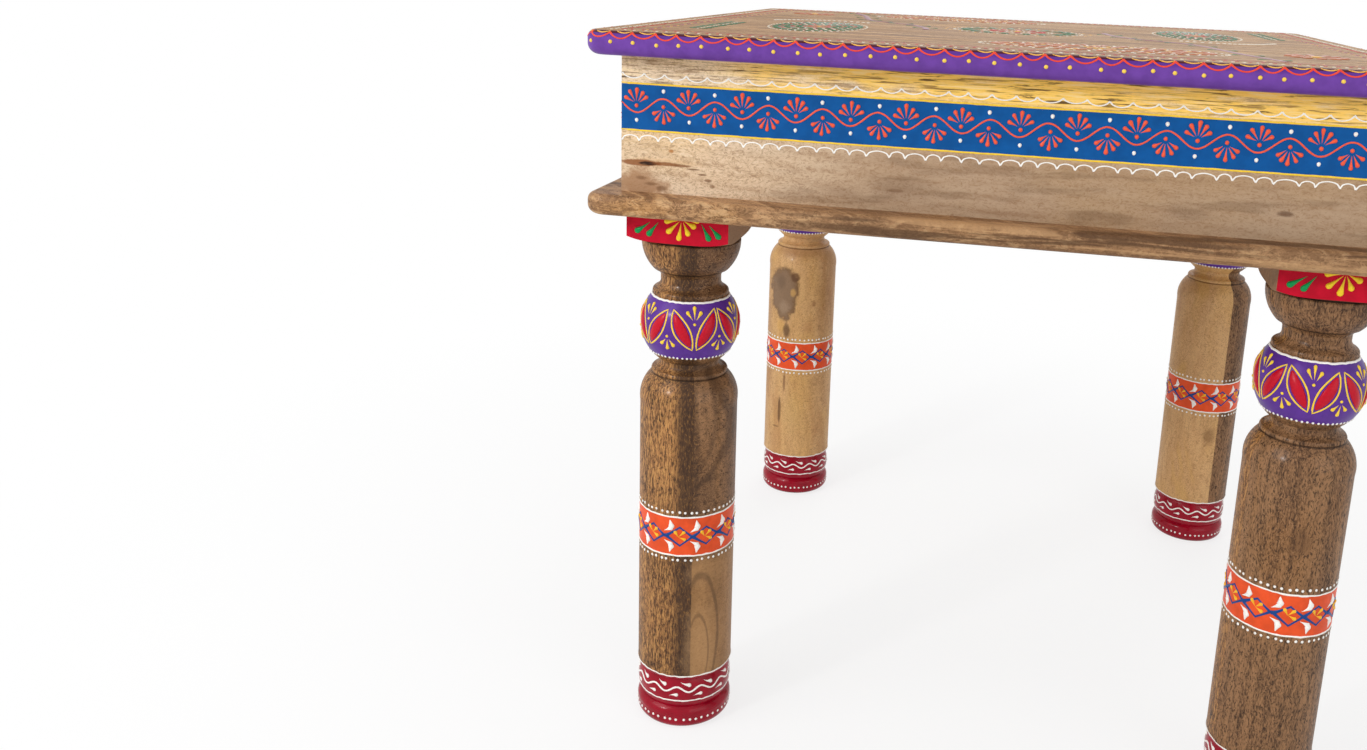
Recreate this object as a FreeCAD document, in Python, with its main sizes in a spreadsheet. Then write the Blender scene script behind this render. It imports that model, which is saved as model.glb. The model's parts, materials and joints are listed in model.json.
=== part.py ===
"""A low square table of mango wood: an edge-glued top, a deep apron, a moulded frame and turned legs."""
import FreeCAD, Part
import math
import os
from types import SimpleNamespace

import Sketcher

Vector = FreeCAD.Vector
UP = Vector(0, 0, 1)
doc = FreeCAD.newDocument("bajot_low_table")

# Driving sizes in millimetres: alias, value, what it is
SIZES = (
    ("top_width", 472.0, "top, left to right"),
    ("top_depth", 472.0, "top, front to back"),
    ("top_thickness", 14.0, "top boards"),
    ("top_upper_round", 4.6, "rim of the top, upper edge radius"),
    ("top_lower_round", 6.4, "rim of the top, lower edge radius"),
    ("top_corner_round", 13.0, "corners of the top seen from above"),
    ("top_overhang", 17.8, "top beyond the apron"),
    ("apron_height", 79.4, "apron boards"),
    ("apron_thickness", 17.0, "apron boards"),
    ("rebate_depth", 9.0, "end of a side board let into the front and back boards"),
    ("rail_overhang", 18.0, "moulded frame beyond the apron"),
    ("rail_width", 88.0, "moulded frame, nose to inner edge"),
    ("rail_thickness", 12.6, "moulded frame"),
    ("rail_upper_round", 4.4, "nose of the moulded frame, upper edge radius"),
    ("rail_lower_round", 5.4, "nose of the moulded frame, lower edge radius"),
    ("rail_corner_round", 13.0, "corners of the moulded frame seen from above"),
    ("leg_setback", 33.6, "leg axis inside the apron's outer face"),
    ("leg_length", 344.5, "floor to the moulded frame"),
    ("blank_width", 62.4, "square blank that a leg is turned from"),
    ("head_height", 18.0, "square head left at the top of the blank"),
    ("head_round", 4.0, "turned rounding of the head's lower corners"),
    ("head_gap", 1.2, "narrow cut under the head"),
    ("bowl_radius", 30.6, "bowl under the head"),
    ("bowl_height", 23.6, "bowl under the head"),
    ("lip_radius", 24.0, "lip where the bowl ends above the neck"),
    ("lip_height", 4.8, "lip above the neck"),
    ("lip_step", 0.9, "small step cut under the lip"),
    ("neck_radius", 18.7, "neck under the bowl"),
    ("neck_height", 4.4, "neck under the bowl"),
    ("bead_radius", 23.7, "bead on top of the ball"),
    ("bead_height", 7.4, "bead and the cove above it"),
    ("bead_face", 3.0, "rounded edge of the bead"),
    ("ball_radius", 30.9, "ball, at its widest"),
    ("ball_height", 42.6, "ball, bead to waist"),
    ("waist_radius", 18.9, "waist under the ball"),
    ("waist_height", 2.6, "straight part of the waist"),
    ("collar_radius", 24.0, "small collar under the waist"),
    ("collar_height", 5.8, "collar and the cove above it"),
    ("collar_face", 2.8, "rounded edge of the collar"),
    ("edge_round", 0.9, "how far the edges of bead and collar swell"),
    ("shoulder_height", 19.6, "rounded shoulder of the leg's body"),
    ("body_radius", 30.8, "long straight body of the leg"),
    ("body_round", 4.6, "lower end of the body"),
    ("groove_radius", 28.2, "bottoms of the two grooves of the foot"),
    ("ring_radius", 30.5, "ring between the two grooves"),
    ("ring_height", 20.4, "ring between the two grooves"),
    ("foot_height", 15.1, "flattened bun foot"),
    ("foot_base_radius", 25.6, "flat that the foot stands on"),
    ("bolt_radius", 4.0, "hanger bolt"),
    ("bolt_in_leg", 42.0, "hanger bolt's wood thread in the leg"),
    ("bolt_past_nut", 3.0, "hanger bolt above its nut"),
    ("bolt_clearance", 0.1, "hole round the hanger bolt"),
    ("washer_radius", 9.0, "washer"),
    ("washer_thickness", 1.6, "washer"),
    ("nut_across_corners", 15.0, "hexagon nut"),
    ("nut_height", 6.5, "hexagon nut"),
    ("block_width", 46.0, "corner block, along the apron"),
    ("block_height", 34.0, "corner block"),
    ("block_chamfer", 20.0, "inner corner cut off the block"),
    ("cleat_width", 24.0, "cleat under the top boards"),
    ("cleat_height", 20.0, "cleat under the top boards"),
    ("cleat_end_gap", 6.0, "cleat's end clear of the front and back boards"),
    ("screw_radius", 2.0, "wood screws"),
    ("screw_head_radius", 4.0, "wood screws, countersunk head"),
    ("screw_head_height", 2.4, "wood screws, countersunk head"),
    ("screw_point", 4.0, "wood screws, tapered point"),
    ("screw_clearance", 0.05, "hole round a wood screw"),
    ("screw_in_top", 9.0, "screw's hold in a top board"),
    ("screw_in_apron", 10.0, "screw's hold in an apron board, sideways"),
    ("screw_up_apron", 24.0, "screw's hold in an apron board, from below"),
)
TOP_BOARDS = 5
SEAM_TURN = 23
NUT_TURN = 15
RAIL_SCREW_SHARES = (-0.6, 0.0, 0.6)
CLEAT_SCREW_SHARES = (-0.7, 0.12, 0.7)
BLOCK_SCREW_SHARES = (0.32, 0.68)

# Shares of the leg's own sizes where its curves bulge: radius, height
POMMEL_SHARE = 0.74
HEAD_CURVE_SHARES = (0.64, 0.3)
BOWL_CURVE_SHARES = (0.96, 0.5)
LIP_CURVE_SHARES = (0.3, 0.42)
COVE_CURVE_SHARES = (0.38, 0.62)
EDGE_CURVE_SHARE = 0.45
SHOULDER_CURVE_SHARES = (0.945, 0.62)
BODY_END_CURVE_SHARES = (0.982, 0.32)
FOOT_CURVE_SHARES = (0.972, 0.89)
FOOT_FLAT_SHARES = (0.4, 0.6)
BALL_MIDDLE_SHARE = 0.44
RING_MIDDLE_SHARE = 0.52
ARC_MIDDLE_SHARE = math.cos(math.pi / 4)


class Size:
    """A named size, or a sum of named sizes: its number now and the formula that keeps it."""

    def __init__(self, number, formula):
        self.number = number
        self.formula = formula

    def __add__(self, other):
        return Size(self.number + number(other), f"({self.formula} + {formula(other)})")

    def __sub__(self, other):
        return Size(self.number - number(other), f"({self.formula} - {formula(other)})")

    def __mul__(self, share):
        return Size(self.number * share, f"({self.formula} * {share})")

    def __truediv__(self, share):
        return Size(self.number / share, f"({self.formula} / {share})")

    def __neg__(self):
        return Size(-self.number, f"(0 - {self.formula})")

    __rmul__ = __mul__


def number(value):
    return value.number if isinstance(value, Size) else float(value)


def formula(value):
    return value.formula if isinstance(value, Size) else str(value)


def point(x, y, z):
    return Vector(number(x), number(y), number(z))


def make_sheet():
    """The driving sizes as a spreadsheet, and each as a Size to work with."""
    sheet = doc.addObject("Spreadsheet::Sheet", "Sizes")
    named = {}
    for row, (alias, value, note) in enumerate(SIZES, start=1):
        sheet.set(f"A{row}", alias)
        sheet.set(f"B{row}", str(value))
        sheet.set(f"C{row}", note)
        sheet.setAlias(f"B{row}", alias)
        named[alias] = Size(value, f"Sizes.{alias}")
    doc.recompute()
    return SimpleNamespace(**named)


s = make_sheet()

# Levels and outer faces that several pieces share
RAIL_BOTTOM = s.leg_length
RAIL_TOP = RAIL_BOTTOM + s.rail_thickness
TOP_BOTTOM = RAIL_TOP + s.apron_height
APRON_X = s.top_width / 2 - s.top_overhang
APRON_Y = s.top_depth / 2 - s.top_overhang
APRON_IN_X = APRON_X - s.apron_thickness
APRON_IN_Y = APRON_Y - s.apron_thickness
RAIL_X = APRON_X + s.rail_overhang
RAIL_Y = APRON_Y + s.rail_overhang
LEG_X = APRON_X - s.leg_setback
LEG_Y = APRON_Y - s.leg_setback
CORNERS = (
    ("front_left", -1, -1, 0),
    ("front_right", 1, -1, 90),
    ("back_right", 1, 1, 180),
    ("back_left", -1, 1, 270),
)


def bind(thing, **sizes):
    """Ties properties of an object to their formulas."""
    for name, value in sizes.items():
        thing.setExpression(name, formula(value))


def place(thing, x=0, y=0, z=0, turn=0):
    """Puts an object at a place worked out from the sizes, turned about the upright."""
    thing.Placement = FreeCAD.Placement(point(x, y, z), FreeCAD.Rotation(UP, turn))
    for axis, value in (("x", x), ("y", y), ("z", z)):
        thing.setExpression(f"Placement.Base.{axis}", formula(value))


def box(name, low, size):
    """A plain block from its lowest corner and its three sides."""
    block = doc.addObject("Part::Box", name)
    bind(block, Length=size[0], Width=size[1], Height=size[2])
    place(block, *low)
    return block


def boolean(kind, name, base, tool):
    """The cut or the common part of two objects."""
    result = doc.addObject(f"Part::{kind}", name)
    result.Base = base
    result.Tool = tool
    result.Label = name
    return result


def outline(body, plane, name, corners):
    """A closed sketch. Each corner is (x, y), or (x, y, via_x, via_y) when an arc leads to it."""
    sketch = body.newObject("Sketcher::SketchObject", name)
    base = next(item for item in body.Origin.OriginFeatures if item.Role == plane)
    sketch.AttachmentSupport = [(base, "")]
    sketch.MapMode = "FlatFace"
    ends = []
    start = corners[-1]
    for corner in corners:
        ends.append(add_edge(sketch, start, corner))
        start = corner
    for (edge, first, _), corner, before in zip(ends, [corners[-1], *corners], [ends[-1], *ends]):
        sketch.addConstraint(Sketcher.Constraint("Coincident", before[0], before[2], edge, first))
        fix_point(sketch, edge, first, corner[0], corner[1])
    return sketch


def add_edge(sketch, start, corner):
    """One edge of an outline: returns its index and the numbers of its first and last points."""
    first = Vector(number(start[0]), number(start[1]), 0)
    last = Vector(number(corner[0]), number(corner[1]), 0)
    if len(corner) == 2:
        return sketch.addGeometry(Part.LineSegment(first, last), False), 1, 2
    via = Vector(number(corner[2]), number(corner[3]), 0)
    edge = sketch.addGeometry(Part.Arc(first, via, last), False)
    middle = sketch.addGeometry(Part.Point(via), True)
    fix_point(sketch, middle, 1, corner[2], corner[3])
    sketch.addConstraint(Sketcher.Constraint("PointOnObject", middle, 1, edge))
    if sketch.getPoint(edge, 1).distanceToPoint(first) < sketch.getPoint(edge, 2).distanceToPoint(first):
        return edge, 1, 2
    return edge, 2, 1


def fix_point(sketch, edge, point, x, y):
    """Ties a point of a sketch to its formulas, or to an axis where it is zero."""
    for kind, value, axis in (("DistanceX", x, -2), ("DistanceY", y, -1)):
        if isinstance(value, Size):
            index = sketch.addConstraint(Sketcher.Constraint(kind, -1, 1, edge, point, value.number))
            sketch.setExpression(f"Constraints[{index}]", value.formula)
        else:
            sketch.addConstraint(Sketcher.Constraint("PointOnObject", edge, point, axis))


def rectangle(x, y):
    return [(-x, -y), (x, -y), (x, y), (-x, y)]


def padded(name, corners, height):
    """A body made by raising one outline from the ground plane."""
    body = doc.addObject("PartDesign::Body", name)
    pad = body.newObject("PartDesign::Pad", name + "_pad")
    pad.Profile = outline(body, "XY_Plane", name + "_outline", corners)
    bind(pad, Length=height)
    body.Tip = pad
    doc.recompute()
    return body


def turned(name, corners):
    """A body made by turning one outline about the upright axis."""
    body = doc.addObject("PartDesign::Body", name)
    sketch = outline(body, "XZ_Plane", name + "_outline", corners)
    turning = body.newObject("PartDesign::Revolution", name + "_turning")
    turning.Profile = sketch
    turning.ReferenceAxis = (sketch, ["V_Axis"])
    turning.Angle = 360
    body.Tip = turning
    doc.recompute()
    return body


def round_edges(body, name, radius, wanted):
    """Rounds those edges of a body that pass the test."""
    edges = [f"Edge{i}" for i, edge in enumerate(body.Shape.Edges, start=1) if wanted(edge)]
    before = body.Tip
    rounded = body.newObject("PartDesign::Fillet", name)
    rounded.Base = (before, edges)
    bind(rounded, Radius=radius)
    body.Tip = rounded
    doc.recompute()


def is_upright(edge):
    return abs(edge.tangentAt(edge.FirstParameter).z) > 0.99


def at_level(edge, level):
    return all(abs(vertex.Z - level) < Part.Precision.confusion() * 10 for vertex in edge.Vertexes)


def nosed_slab(name, x, y, height, corner_round, upper_round, lower_round):
    """A slab whose outer rim is a bullnose, mitred softly at its four corners."""
    body = padded(name, rectangle(x, y), height)
    round_edges(body, name + "_corners", corner_round, is_upright)
    round_edges(body, name + "_upper", upper_round, lambda edge: at_level(edge, number(height)))
    round_edges(body, name + "_lower", lower_round, lambda edge: at_level(edge, 0))
    return body


def screw(name, length, clearance=0):
    """A countersunk wood screw, head up, its face at zero. With a clearance it is the screw's hole."""
    shank = s.screw_radius + clearance
    head = s.screw_head_radius + clearance
    end = -length - clearance
    corners = [(0, end), (shank, end + s.screw_point), (shank, -s.screw_head_height), (head, 0), (0, 0)]
    return turned(name, corners)


def copies(name, body, places):
    """One body repeated: each place is a point and the way that its upright axis faces."""
    group = doc.addObject("Part::Feature", name)
    shapes = []
    for spot, facing in places:
        shape = body.Shape.copy()
        shape.Placement = FreeCAD.Placement(spot, FreeCAD.Rotation(UP, facing))
        shapes.append(shape)
    group.Shape = Part.makeCompound(shapes)
    group.Label = name
    return group


# Places of the fasteners
SCREW_LINE = (s.leg_setback - s.apron_thickness - s.bolt_radius) / 2
CLEAT_END = APRON_IN_Y - s.cleat_end_gap
board_depth = s.top_depth / TOP_BOARDS
board_edges = [-s.top_depth / 2 + board_depth * index for index in range(TOP_BOARDS + 1)]


def top_screw_places():
    """Up through each cleat, one into every top board, midway along what of it lies on the cleat."""
    reach = number(CLEAT_END)
    places = []
    x = APRON_IN_X - s.cleat_width / 2
    for low, high in zip(board_edges, board_edges[1:]):
        middle = (max(number(low), -reach) + min(number(high), reach)) / 2
        for side in (-1, 1):
            places.append((point(x * side, middle, TOP_BOTTOM - s.cleat_height), -UP))
    return places


def cleat_screw_places():
    """Through each cleat into the side board that it lies against."""
    places = []
    level = TOP_BOTTOM - s.cleat_height / 2
    for side in (-1, 1):
        x = (APRON_IN_X - s.cleat_width) * side
        for share in CLEAT_SCREW_SHARES:
            places.append((point(x, APRON_IN_Y * share, level), Vector(-side, 0, 0)))
    return places


def rail_screw_places():
    """From below through the moulded frame into the edge of each apron board."""
    middle_x = APRON_X - s.apron_thickness / 2
    middle_y = APRON_Y - s.apron_thickness / 2
    places = []
    for side in (-1, 1):
        for share in RAIL_SCREW_SHARES:
            places.append((point(APRON_X * share, middle_y * side, RAIL_BOTTOM), -UP))
            places.append((point(middle_x * side, APRON_Y * share, RAIL_BOTTOM), -UP))
    return places


def block_screw_places():
    """Through each corner block, one into each of the two boards that it joins, clear of the bolt."""
    places = []
    for _, side_x, side_y, _ in CORNERS:
        low = RAIL_TOP + s.block_height * BLOCK_SCREW_SHARES[0]
        high = RAIL_TOP + s.block_height * BLOCK_SCREW_SHARES[1]
        along_y = point((APRON_IN_X - SCREW_LINE) * side_x, (APRON_IN_Y - s.block_width) * side_y, low)
        along_x = point((APRON_IN_X - s.block_width) * side_x, (APRON_IN_Y - SCREW_LINE) * side_y, high)
        places += [(along_y, Vector(0, -side_y, 0)), (along_x, Vector(-side_x, 0, 0))]
    return places


def make_fasteners():
    """The four kinds of wood screw, each as its group and as the group of its holes."""
    kinds = (
        ("top_screws", s.cleat_height + s.screw_in_top, top_screw_places()),
        ("cleat_screws", s.cleat_width + s.screw_in_apron, cleat_screw_places()),
        ("rail_screws", s.rail_thickness + s.screw_up_apron, rail_screw_places()),
        ("block_screws", s.block_width + s.screw_in_apron, block_screw_places()),
    )
    groups = {}
    holes = {}
    for name, length, places in kinds:
        groups[name] = copies(name, screw(name + "_one", length), places)
        holes[name] = copies(name + "_holes", screw(name + "_drill", length, s.screw_clearance), places)
    return groups, holes


def make_bolts():
    """Hanger bolts with their washers and nuts, and the holes that they pass through."""
    bottom = s.leg_length - s.bolt_in_leg
    nut_top = RAIL_TOP + s.block_height + s.washer_thickness + s.nut_height
    shank = s.bolt_radius
    reach = nut_top + s.bolt_past_nut - bottom
    bolt = turned("hanger_bolt_one", [(0, 0), (shank, s.bolt_radius), (shank, reach), (0, reach)])
    bore = s.bolt_radius + s.bolt_clearance
    hole = turned("bolt_hole_one", [(0, 0), (bore, 0), (bore, reach), (0, reach)])
    washer = turned("washer_one", [(bore, 0), (s.washer_radius, 0), (s.washer_radius, s.washer_thickness),
                                   (bore, s.washer_thickness)])
    corner = s.nut_across_corners / 2
    hexagon = []
    for index in range(6):
        angle = math.radians(index * 60 + NUT_TURN)
        hexagon.append((corner * math.cos(angle), corner * math.sin(angle)))
    blank = padded("nut_blank", hexagon, s.nut_height)
    drill = turned("nut_bore", [(0, 0), (bore, 0), (bore, s.nut_height), (0, s.nut_height)])
    nut = boolean("Cut", "nut_one", blank, drill)
    doc.recompute()
    seat = RAIL_TOP + s.block_height
    levels = (
        ("hanger_bolts", bolt, bottom),
        ("washers", washer, seat),
        ("nuts", nut, seat + s.washer_thickness),
        ("bolt_holes", hole, bottom),
    )
    made = {}
    for name, body, level in levels:
        places = [(point(LEG_X * side_x, LEG_Y * side_y, level), UP) for _, side_x, side_y, _ in CORNERS]
        made[name] = copies(name, body, places)
    return made


def make_top(holes):
    """Planks edge-glued into one square, its rim rounded all the way round."""
    slab = nosed_slab("top_slab", s.top_width / 2, s.top_depth / 2, s.top_thickness,
                      s.top_corner_round, s.top_upper_round, s.top_lower_round)
    place(slab, z=TOP_BOTTOM)
    boards = []
    for index, low in enumerate(board_edges[:-1], start=1):
        plank = box(f"top_plank_{index}", (-s.top_width / 2, low, TOP_BOTTOM),
                    (s.top_width, board_depth, s.top_thickness))
        rimmed = boolean("Common", f"top_rimmed_{index}", slab, plank)
        boards.append(boolean("Cut", f"top_board_{index}", rimmed, holes["top_screws"]))
    return boards


def make_apron(holes):
    """Four boards set on edge. The side boards' ends are let into the front and back ones."""
    boards = []
    level = RAIL_TOP
    for name, side in (("front", -1), ("back", 1)):
        outer = -APRON_Y if side < 0 else APRON_IN_Y
        plank = box(f"apron_{name}_plank", (-APRON_X, outer, level),
                    (APRON_X * 2, s.apron_thickness, s.apron_height))
        cutters = []
        for end, low in (("left", -APRON_X), ("right", APRON_IN_X)):
            inner = -APRON_IN_Y - s.rebate_depth if side < 0 else APRON_IN_Y
            cutters.append(box(f"apron_{name}_{end}_rebate", (low, inner, level),
                               (s.apron_thickness, s.rebate_depth, s.apron_height)))
        for cutter in (*cutters, holes["rail_screws"], holes["block_screws"]):
            plank = boolean("Cut", f"apron_{name}_less_{cutter.Name}", plank, cutter)
        plank.Label = f"apron_{name}"
        boards.append(plank)
    for name, side in (("left", -1), ("right", 1)):
        outer = -APRON_X if side < 0 else APRON_IN_X
        half = APRON_IN_Y + s.rebate_depth
        plank = box(f"apron_{name}_plank", (outer, -half, level),
                    (s.apron_thickness, half * 2, s.apron_height))
        for cutter in (holes["rail_screws"], holes["block_screws"], holes["cleat_screws"]):
            plank = boolean("Cut", f"apron_{name}_less_{cutter.Name}", plank, cutter)
        plank.Label = f"apron_{name}"
        boards.append(plank)
    return boards


def make_rails(holes, bolts):
    """The moulded frame under the apron: four rails with a rounded nose, mitred at the corners."""
    slab = nosed_slab("rail_slab", RAIL_X, RAIL_Y, s.rail_thickness,
                      s.rail_corner_round, s.rail_upper_round, s.rail_lower_round)
    place(slab, z=RAIL_BOTTOM)
    inner_x = RAIL_X - s.rail_width
    inner_y = RAIL_Y - s.rail_width
    drilled = boolean("Cut", "rails_less_screws", slab, holes["rail_screws"])
    drilled = boolean("Cut", "rails_less_bolts", drilled, bolts["bolt_holes"])
    mitres = {
        "front": [(-RAIL_X, -RAIL_Y), (RAIL_X, -RAIL_Y), (inner_x, -inner_y), (-inner_x, -inner_y)],
        "right": [(RAIL_X, -RAIL_Y), (RAIL_X, RAIL_Y), (inner_x, inner_y), (inner_x, -inner_y)],
        "back": [(RAIL_X, RAIL_Y), (-RAIL_X, RAIL_Y), (-inner_x, inner_y), (inner_x, inner_y)],
        "left": [(-RAIL_X, RAIL_Y), (-RAIL_X, -RAIL_Y), (-inner_x, -inner_y), (-inner_x, inner_y)],
    }
    rails = []
    for name, corners in mitres.items():
        blank = padded(f"rail_{name}_mitre", corners, s.rail_thickness)
        place(blank, z=RAIL_BOTTOM)
        rails.append(boolean("Common", f"rail_{name}", drilled, blank))
    return rails


def make_blocks(holes, bolts):
    """Blocks glued and screwed into the corners of the apron, which take the pull of the legs' bolts."""
    blocks = []
    for name, side_x, side_y, _ in CORNERS:
        far_x = APRON_IN_X - s.block_width
        far_y = APRON_IN_Y - s.block_width
        corners = [(APRON_IN_X, APRON_IN_Y), (far_x, APRON_IN_Y), (far_x, far_y + s.block_chamfer),
                   (far_x + s.block_chamfer, far_y), (APRON_IN_X, far_y)]
        corners = [(x * side_x, y * side_y) for x, y in corners]
        block = padded(f"corner_block_{name}_blank", corners, s.block_height)
        place(block, z=RAIL_TOP)
        for cutter in (holes["block_screws"], bolts["bolt_holes"]):
            block = boolean("Cut", f"corner_block_{name}_less_{cutter.Name}", block, cutter)
        block.Label = f"corner_block_{name}"
        blocks.append(block)
    return blocks


def make_cleats(holes):
    """Two cleats that hold the top boards flat and fix them to the side boards."""
    cleats = []
    for name, side in (("left", -1), ("right", 1)):
        x = -APRON_IN_X if side < 0 else APRON_IN_X - s.cleat_width
        cleat = box(f"cleat_{name}_blank", (x, -CLEAT_END, TOP_BOTTOM - s.cleat_height),
                    (s.cleat_width, CLEAT_END * 2, s.cleat_height))
        for cutter in (holes["top_screws"], holes["cleat_screws"]):
            cleat = boolean("Cut", f"cleat_{name}_less_{cutter.Name}", cleat, cutter)
        cleat.Label = f"top_cleat_{name}"
        cleats.append(cleat)
    return cleats


def bulge(radius, low, height, shares):
    """The point that a turned curve passes through, as shares of its radius and its height."""
    return radius * shares[0], low + height * shares[1]


def coved_edge(inner, outer, top, height, face):
    """A cove that flares out and down to a rounded edge, as corners of the outline."""
    low = top - height
    edge = outer - s.edge_round
    return [
        (edge, low + face,
         inner + (edge - inner) * COVE_CURVE_SHARES[0], top - (height - face) * COVE_CURVE_SHARES[1]),
        (edge + s.edge_round / 2, low, outer, low + face * EDGE_CURVE_SHARE),
    ]


def leg_outline():
    """Half of the leg's section, from the bolt's hole at the top down to the floor."""
    bore = s.bolt_radius + s.bolt_clearance
    bore_end = s.leg_length - s.bolt_in_leg
    pommel = s.blank_width * POMMEL_SHARE
    head_low = s.leg_length - s.head_height
    gap_low = head_low - s.head_gap
    neck_top = gap_low - s.bowl_height
    lip_low = neck_top + s.lip_height
    neck_reach = s.lip_radius - s.lip_step - s.neck_radius
    bead_top = neck_top - s.neck_height
    ball_top = bead_top - s.bead_height
    waist = ball_top - s.ball_height
    collar_top = waist - s.waist_height
    collar_low = collar_top - s.collar_height
    body_top = collar_low - s.shoulder_height
    ring_top = s.foot_height + s.ring_height
    foot_curve = s.foot_height * FOOT_FLAT_SHARES[0]
    foot_reach = s.body_radius - s.foot_base_radius
    return [
        (0, bore_end),
        (bore, bore_end),
        (bore, s.leg_length),
        (pommel, s.leg_length),
        (pommel, head_low + s.head_round),
        (s.blank_width / 2 - s.head_gap, head_low,
         *bulge(s.blank_width, head_low, s.head_round, HEAD_CURVE_SHARES)),
        (s.bowl_radius - s.head_gap, gap_low),
        (s.bowl_radius, gap_low - s.head_gap),
        (s.lip_radius, lip_low,
         *bulge(s.bowl_radius, lip_low, s.bowl_height - s.lip_height, BOWL_CURVE_SHARES)),
        (s.lip_radius - s.lip_step, lip_low - s.lip_step),
        (s.neck_radius, neck_top,
         s.neck_radius + neck_reach * LIP_CURVE_SHARES[0], neck_top + s.lip_height * LIP_CURVE_SHARES[1]),
        (s.neck_radius, bead_top),
        *coved_edge(s.neck_radius, s.bead_radius, bead_top, s.bead_height, s.bead_face),
        (s.waist_radius, waist, s.ball_radius, ball_top - s.ball_height * BALL_MIDDLE_SHARE),
        (s.waist_radius, collar_top),
        *coved_edge(s.waist_radius, s.collar_radius, collar_top, s.collar_height, s.collar_face),
        (s.body_radius, body_top,
         *bulge(s.body_radius, body_top, s.shoulder_height, SHOULDER_CURVE_SHARES)),
        (s.body_radius, ring_top + s.body_round),
        (s.groove_radius, ring_top,
         *bulge(s.body_radius, ring_top, s.body_round, BODY_END_CURVE_SHARES)),
        (s.groove_radius, s.foot_height,
         s.ring_radius, s.foot_height + s.ring_height * RING_MIDDLE_SHARE),
        (s.body_radius, s.foot_height * FOOT_FLAT_SHARES[1],
         s.body_radius * FOOT_CURVE_SHARES[0], s.foot_height * FOOT_CURVE_SHARES[1]),
        (s.body_radius, foot_curve),
        (s.foot_base_radius, 0,
         s.foot_base_radius + foot_reach * ARC_MIDDLE_SHARE, foot_curve * (1 - ARC_MIDDLE_SHARE)),
        (0, 0),
    ]


def make_legs():
    """Four legs, each turned from a blank of two halves whose glued seam runs right through the axis."""
    profile = turned("leg_turning", leg_outline())
    half = s.blank_width / 2
    halves = []
    for name, side_x, side_y, turn in CORNERS:
        blank = padded(f"leg_{name}_blank", rectangle(half, half), s.leg_length)
        leg = boolean("Common", f"leg_{name}_turned", profile, blank)
        for mark, side in (("a", -1), ("b", 1)):
            reach = s.blank_width * side
            low, high = -s.blank_width, s.blank_width
            corners = [(0, low), (reach, low), (reach, high), (0, high)]
            billet = padded(f"leg_{name}_billet_{mark}", corners, s.leg_length)
            place(billet, turn=SEAM_TURN)
            piece = boolean("Common", f"leg_{name}_half_{mark}", leg, billet)
            place(piece, LEG_X * side_x, LEG_Y * side_y, 0, turn)
            halves.append(piece)
    return halves


def check_and_write(pieces):
    """Every feature has to be sound and every piece whole before any file is written."""
    doc.recompute()
    faults = [thing.Label for thing in doc.Objects if {"Invalid", "Error"} & set(thing.State)]
    faults += [piece.Label for piece in pieces if piece.Shape.isNull() or not piece.Shape.isValid()]
    if faults:
        raise RuntimeError("unsound: " + ", ".join(faults))
    os.makedirs("parts", exist_ok=True)
    for piece in pieces:
        piece.Shape.exportStep(f"parts/{piece.Label}.step")
        print(f"{piece.Label}: {len(piece.Shape.Solids)} solids, {piece.Shape.Volume:.0f} mm3")


screws, screw_holes = make_fasteners()
bolts = make_bolts()
top_boards = make_top(screw_holes)
apron_boards = make_apron(screw_holes)
rails = make_rails(screw_holes, bolts)
corner_blocks = make_blocks(screw_holes, bolts)
cleats = make_cleats(screw_holes)
legs = make_legs()
bolt_groups = [bolts[name] for name in ("hanger_bolts", "washers", "nuts")]
woodwork = [*top_boards, *apron_boards, *rails, *corner_blocks, *cleats, *legs]
check_and_write([*woodwork, *bolt_groups, *screws.values()])
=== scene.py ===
import json
import math
import random
from functools import cache

import bpy
import bmesh
from mathutils import Matrix, Vector

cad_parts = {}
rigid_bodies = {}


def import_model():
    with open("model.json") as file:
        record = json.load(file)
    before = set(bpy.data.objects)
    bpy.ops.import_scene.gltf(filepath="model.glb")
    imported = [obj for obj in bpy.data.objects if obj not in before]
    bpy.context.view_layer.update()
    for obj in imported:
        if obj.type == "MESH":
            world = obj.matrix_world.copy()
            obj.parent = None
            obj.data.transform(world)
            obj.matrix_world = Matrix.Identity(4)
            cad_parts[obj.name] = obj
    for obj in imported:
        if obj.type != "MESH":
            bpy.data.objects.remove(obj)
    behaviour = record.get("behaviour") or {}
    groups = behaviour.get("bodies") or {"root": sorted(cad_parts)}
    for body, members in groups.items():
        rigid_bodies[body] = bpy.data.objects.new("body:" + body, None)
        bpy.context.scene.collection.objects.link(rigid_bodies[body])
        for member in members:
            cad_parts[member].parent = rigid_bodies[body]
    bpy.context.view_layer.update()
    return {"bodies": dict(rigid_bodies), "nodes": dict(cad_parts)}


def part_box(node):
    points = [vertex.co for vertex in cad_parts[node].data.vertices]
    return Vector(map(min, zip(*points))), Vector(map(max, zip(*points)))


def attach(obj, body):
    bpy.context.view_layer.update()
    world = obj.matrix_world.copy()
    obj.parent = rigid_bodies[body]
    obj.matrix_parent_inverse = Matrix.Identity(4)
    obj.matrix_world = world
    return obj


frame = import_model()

BODY = next(iter(frame["bodies"]))
MM = 0.001
QUARTER = math.pi / 2
SIDES = 4

TOP_BOARDS = tuple(f"top_board_{index}" for index in range(1, 6))
LEG_HALVES = ("leg_front_left_half_a", "leg_front_left_half_b")

# Places of the carpentry, read from the frame
APRON_FACE = -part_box("apron_front")[0].y
rim_low, rim_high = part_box("top_board_1")
RIM_FACE = -rim_low.y
RIM_CORNER = 13 * MM
TOP = rim_high.z
halves = [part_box(node) for node in LEG_HALVES]
head_low = min(low.x for low, _ in halves)
head_high = max(high.x for _, high in halves)
HEAD_FACE = -head_low
LEG_AXIS = -(head_high + head_low) / 2

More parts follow.
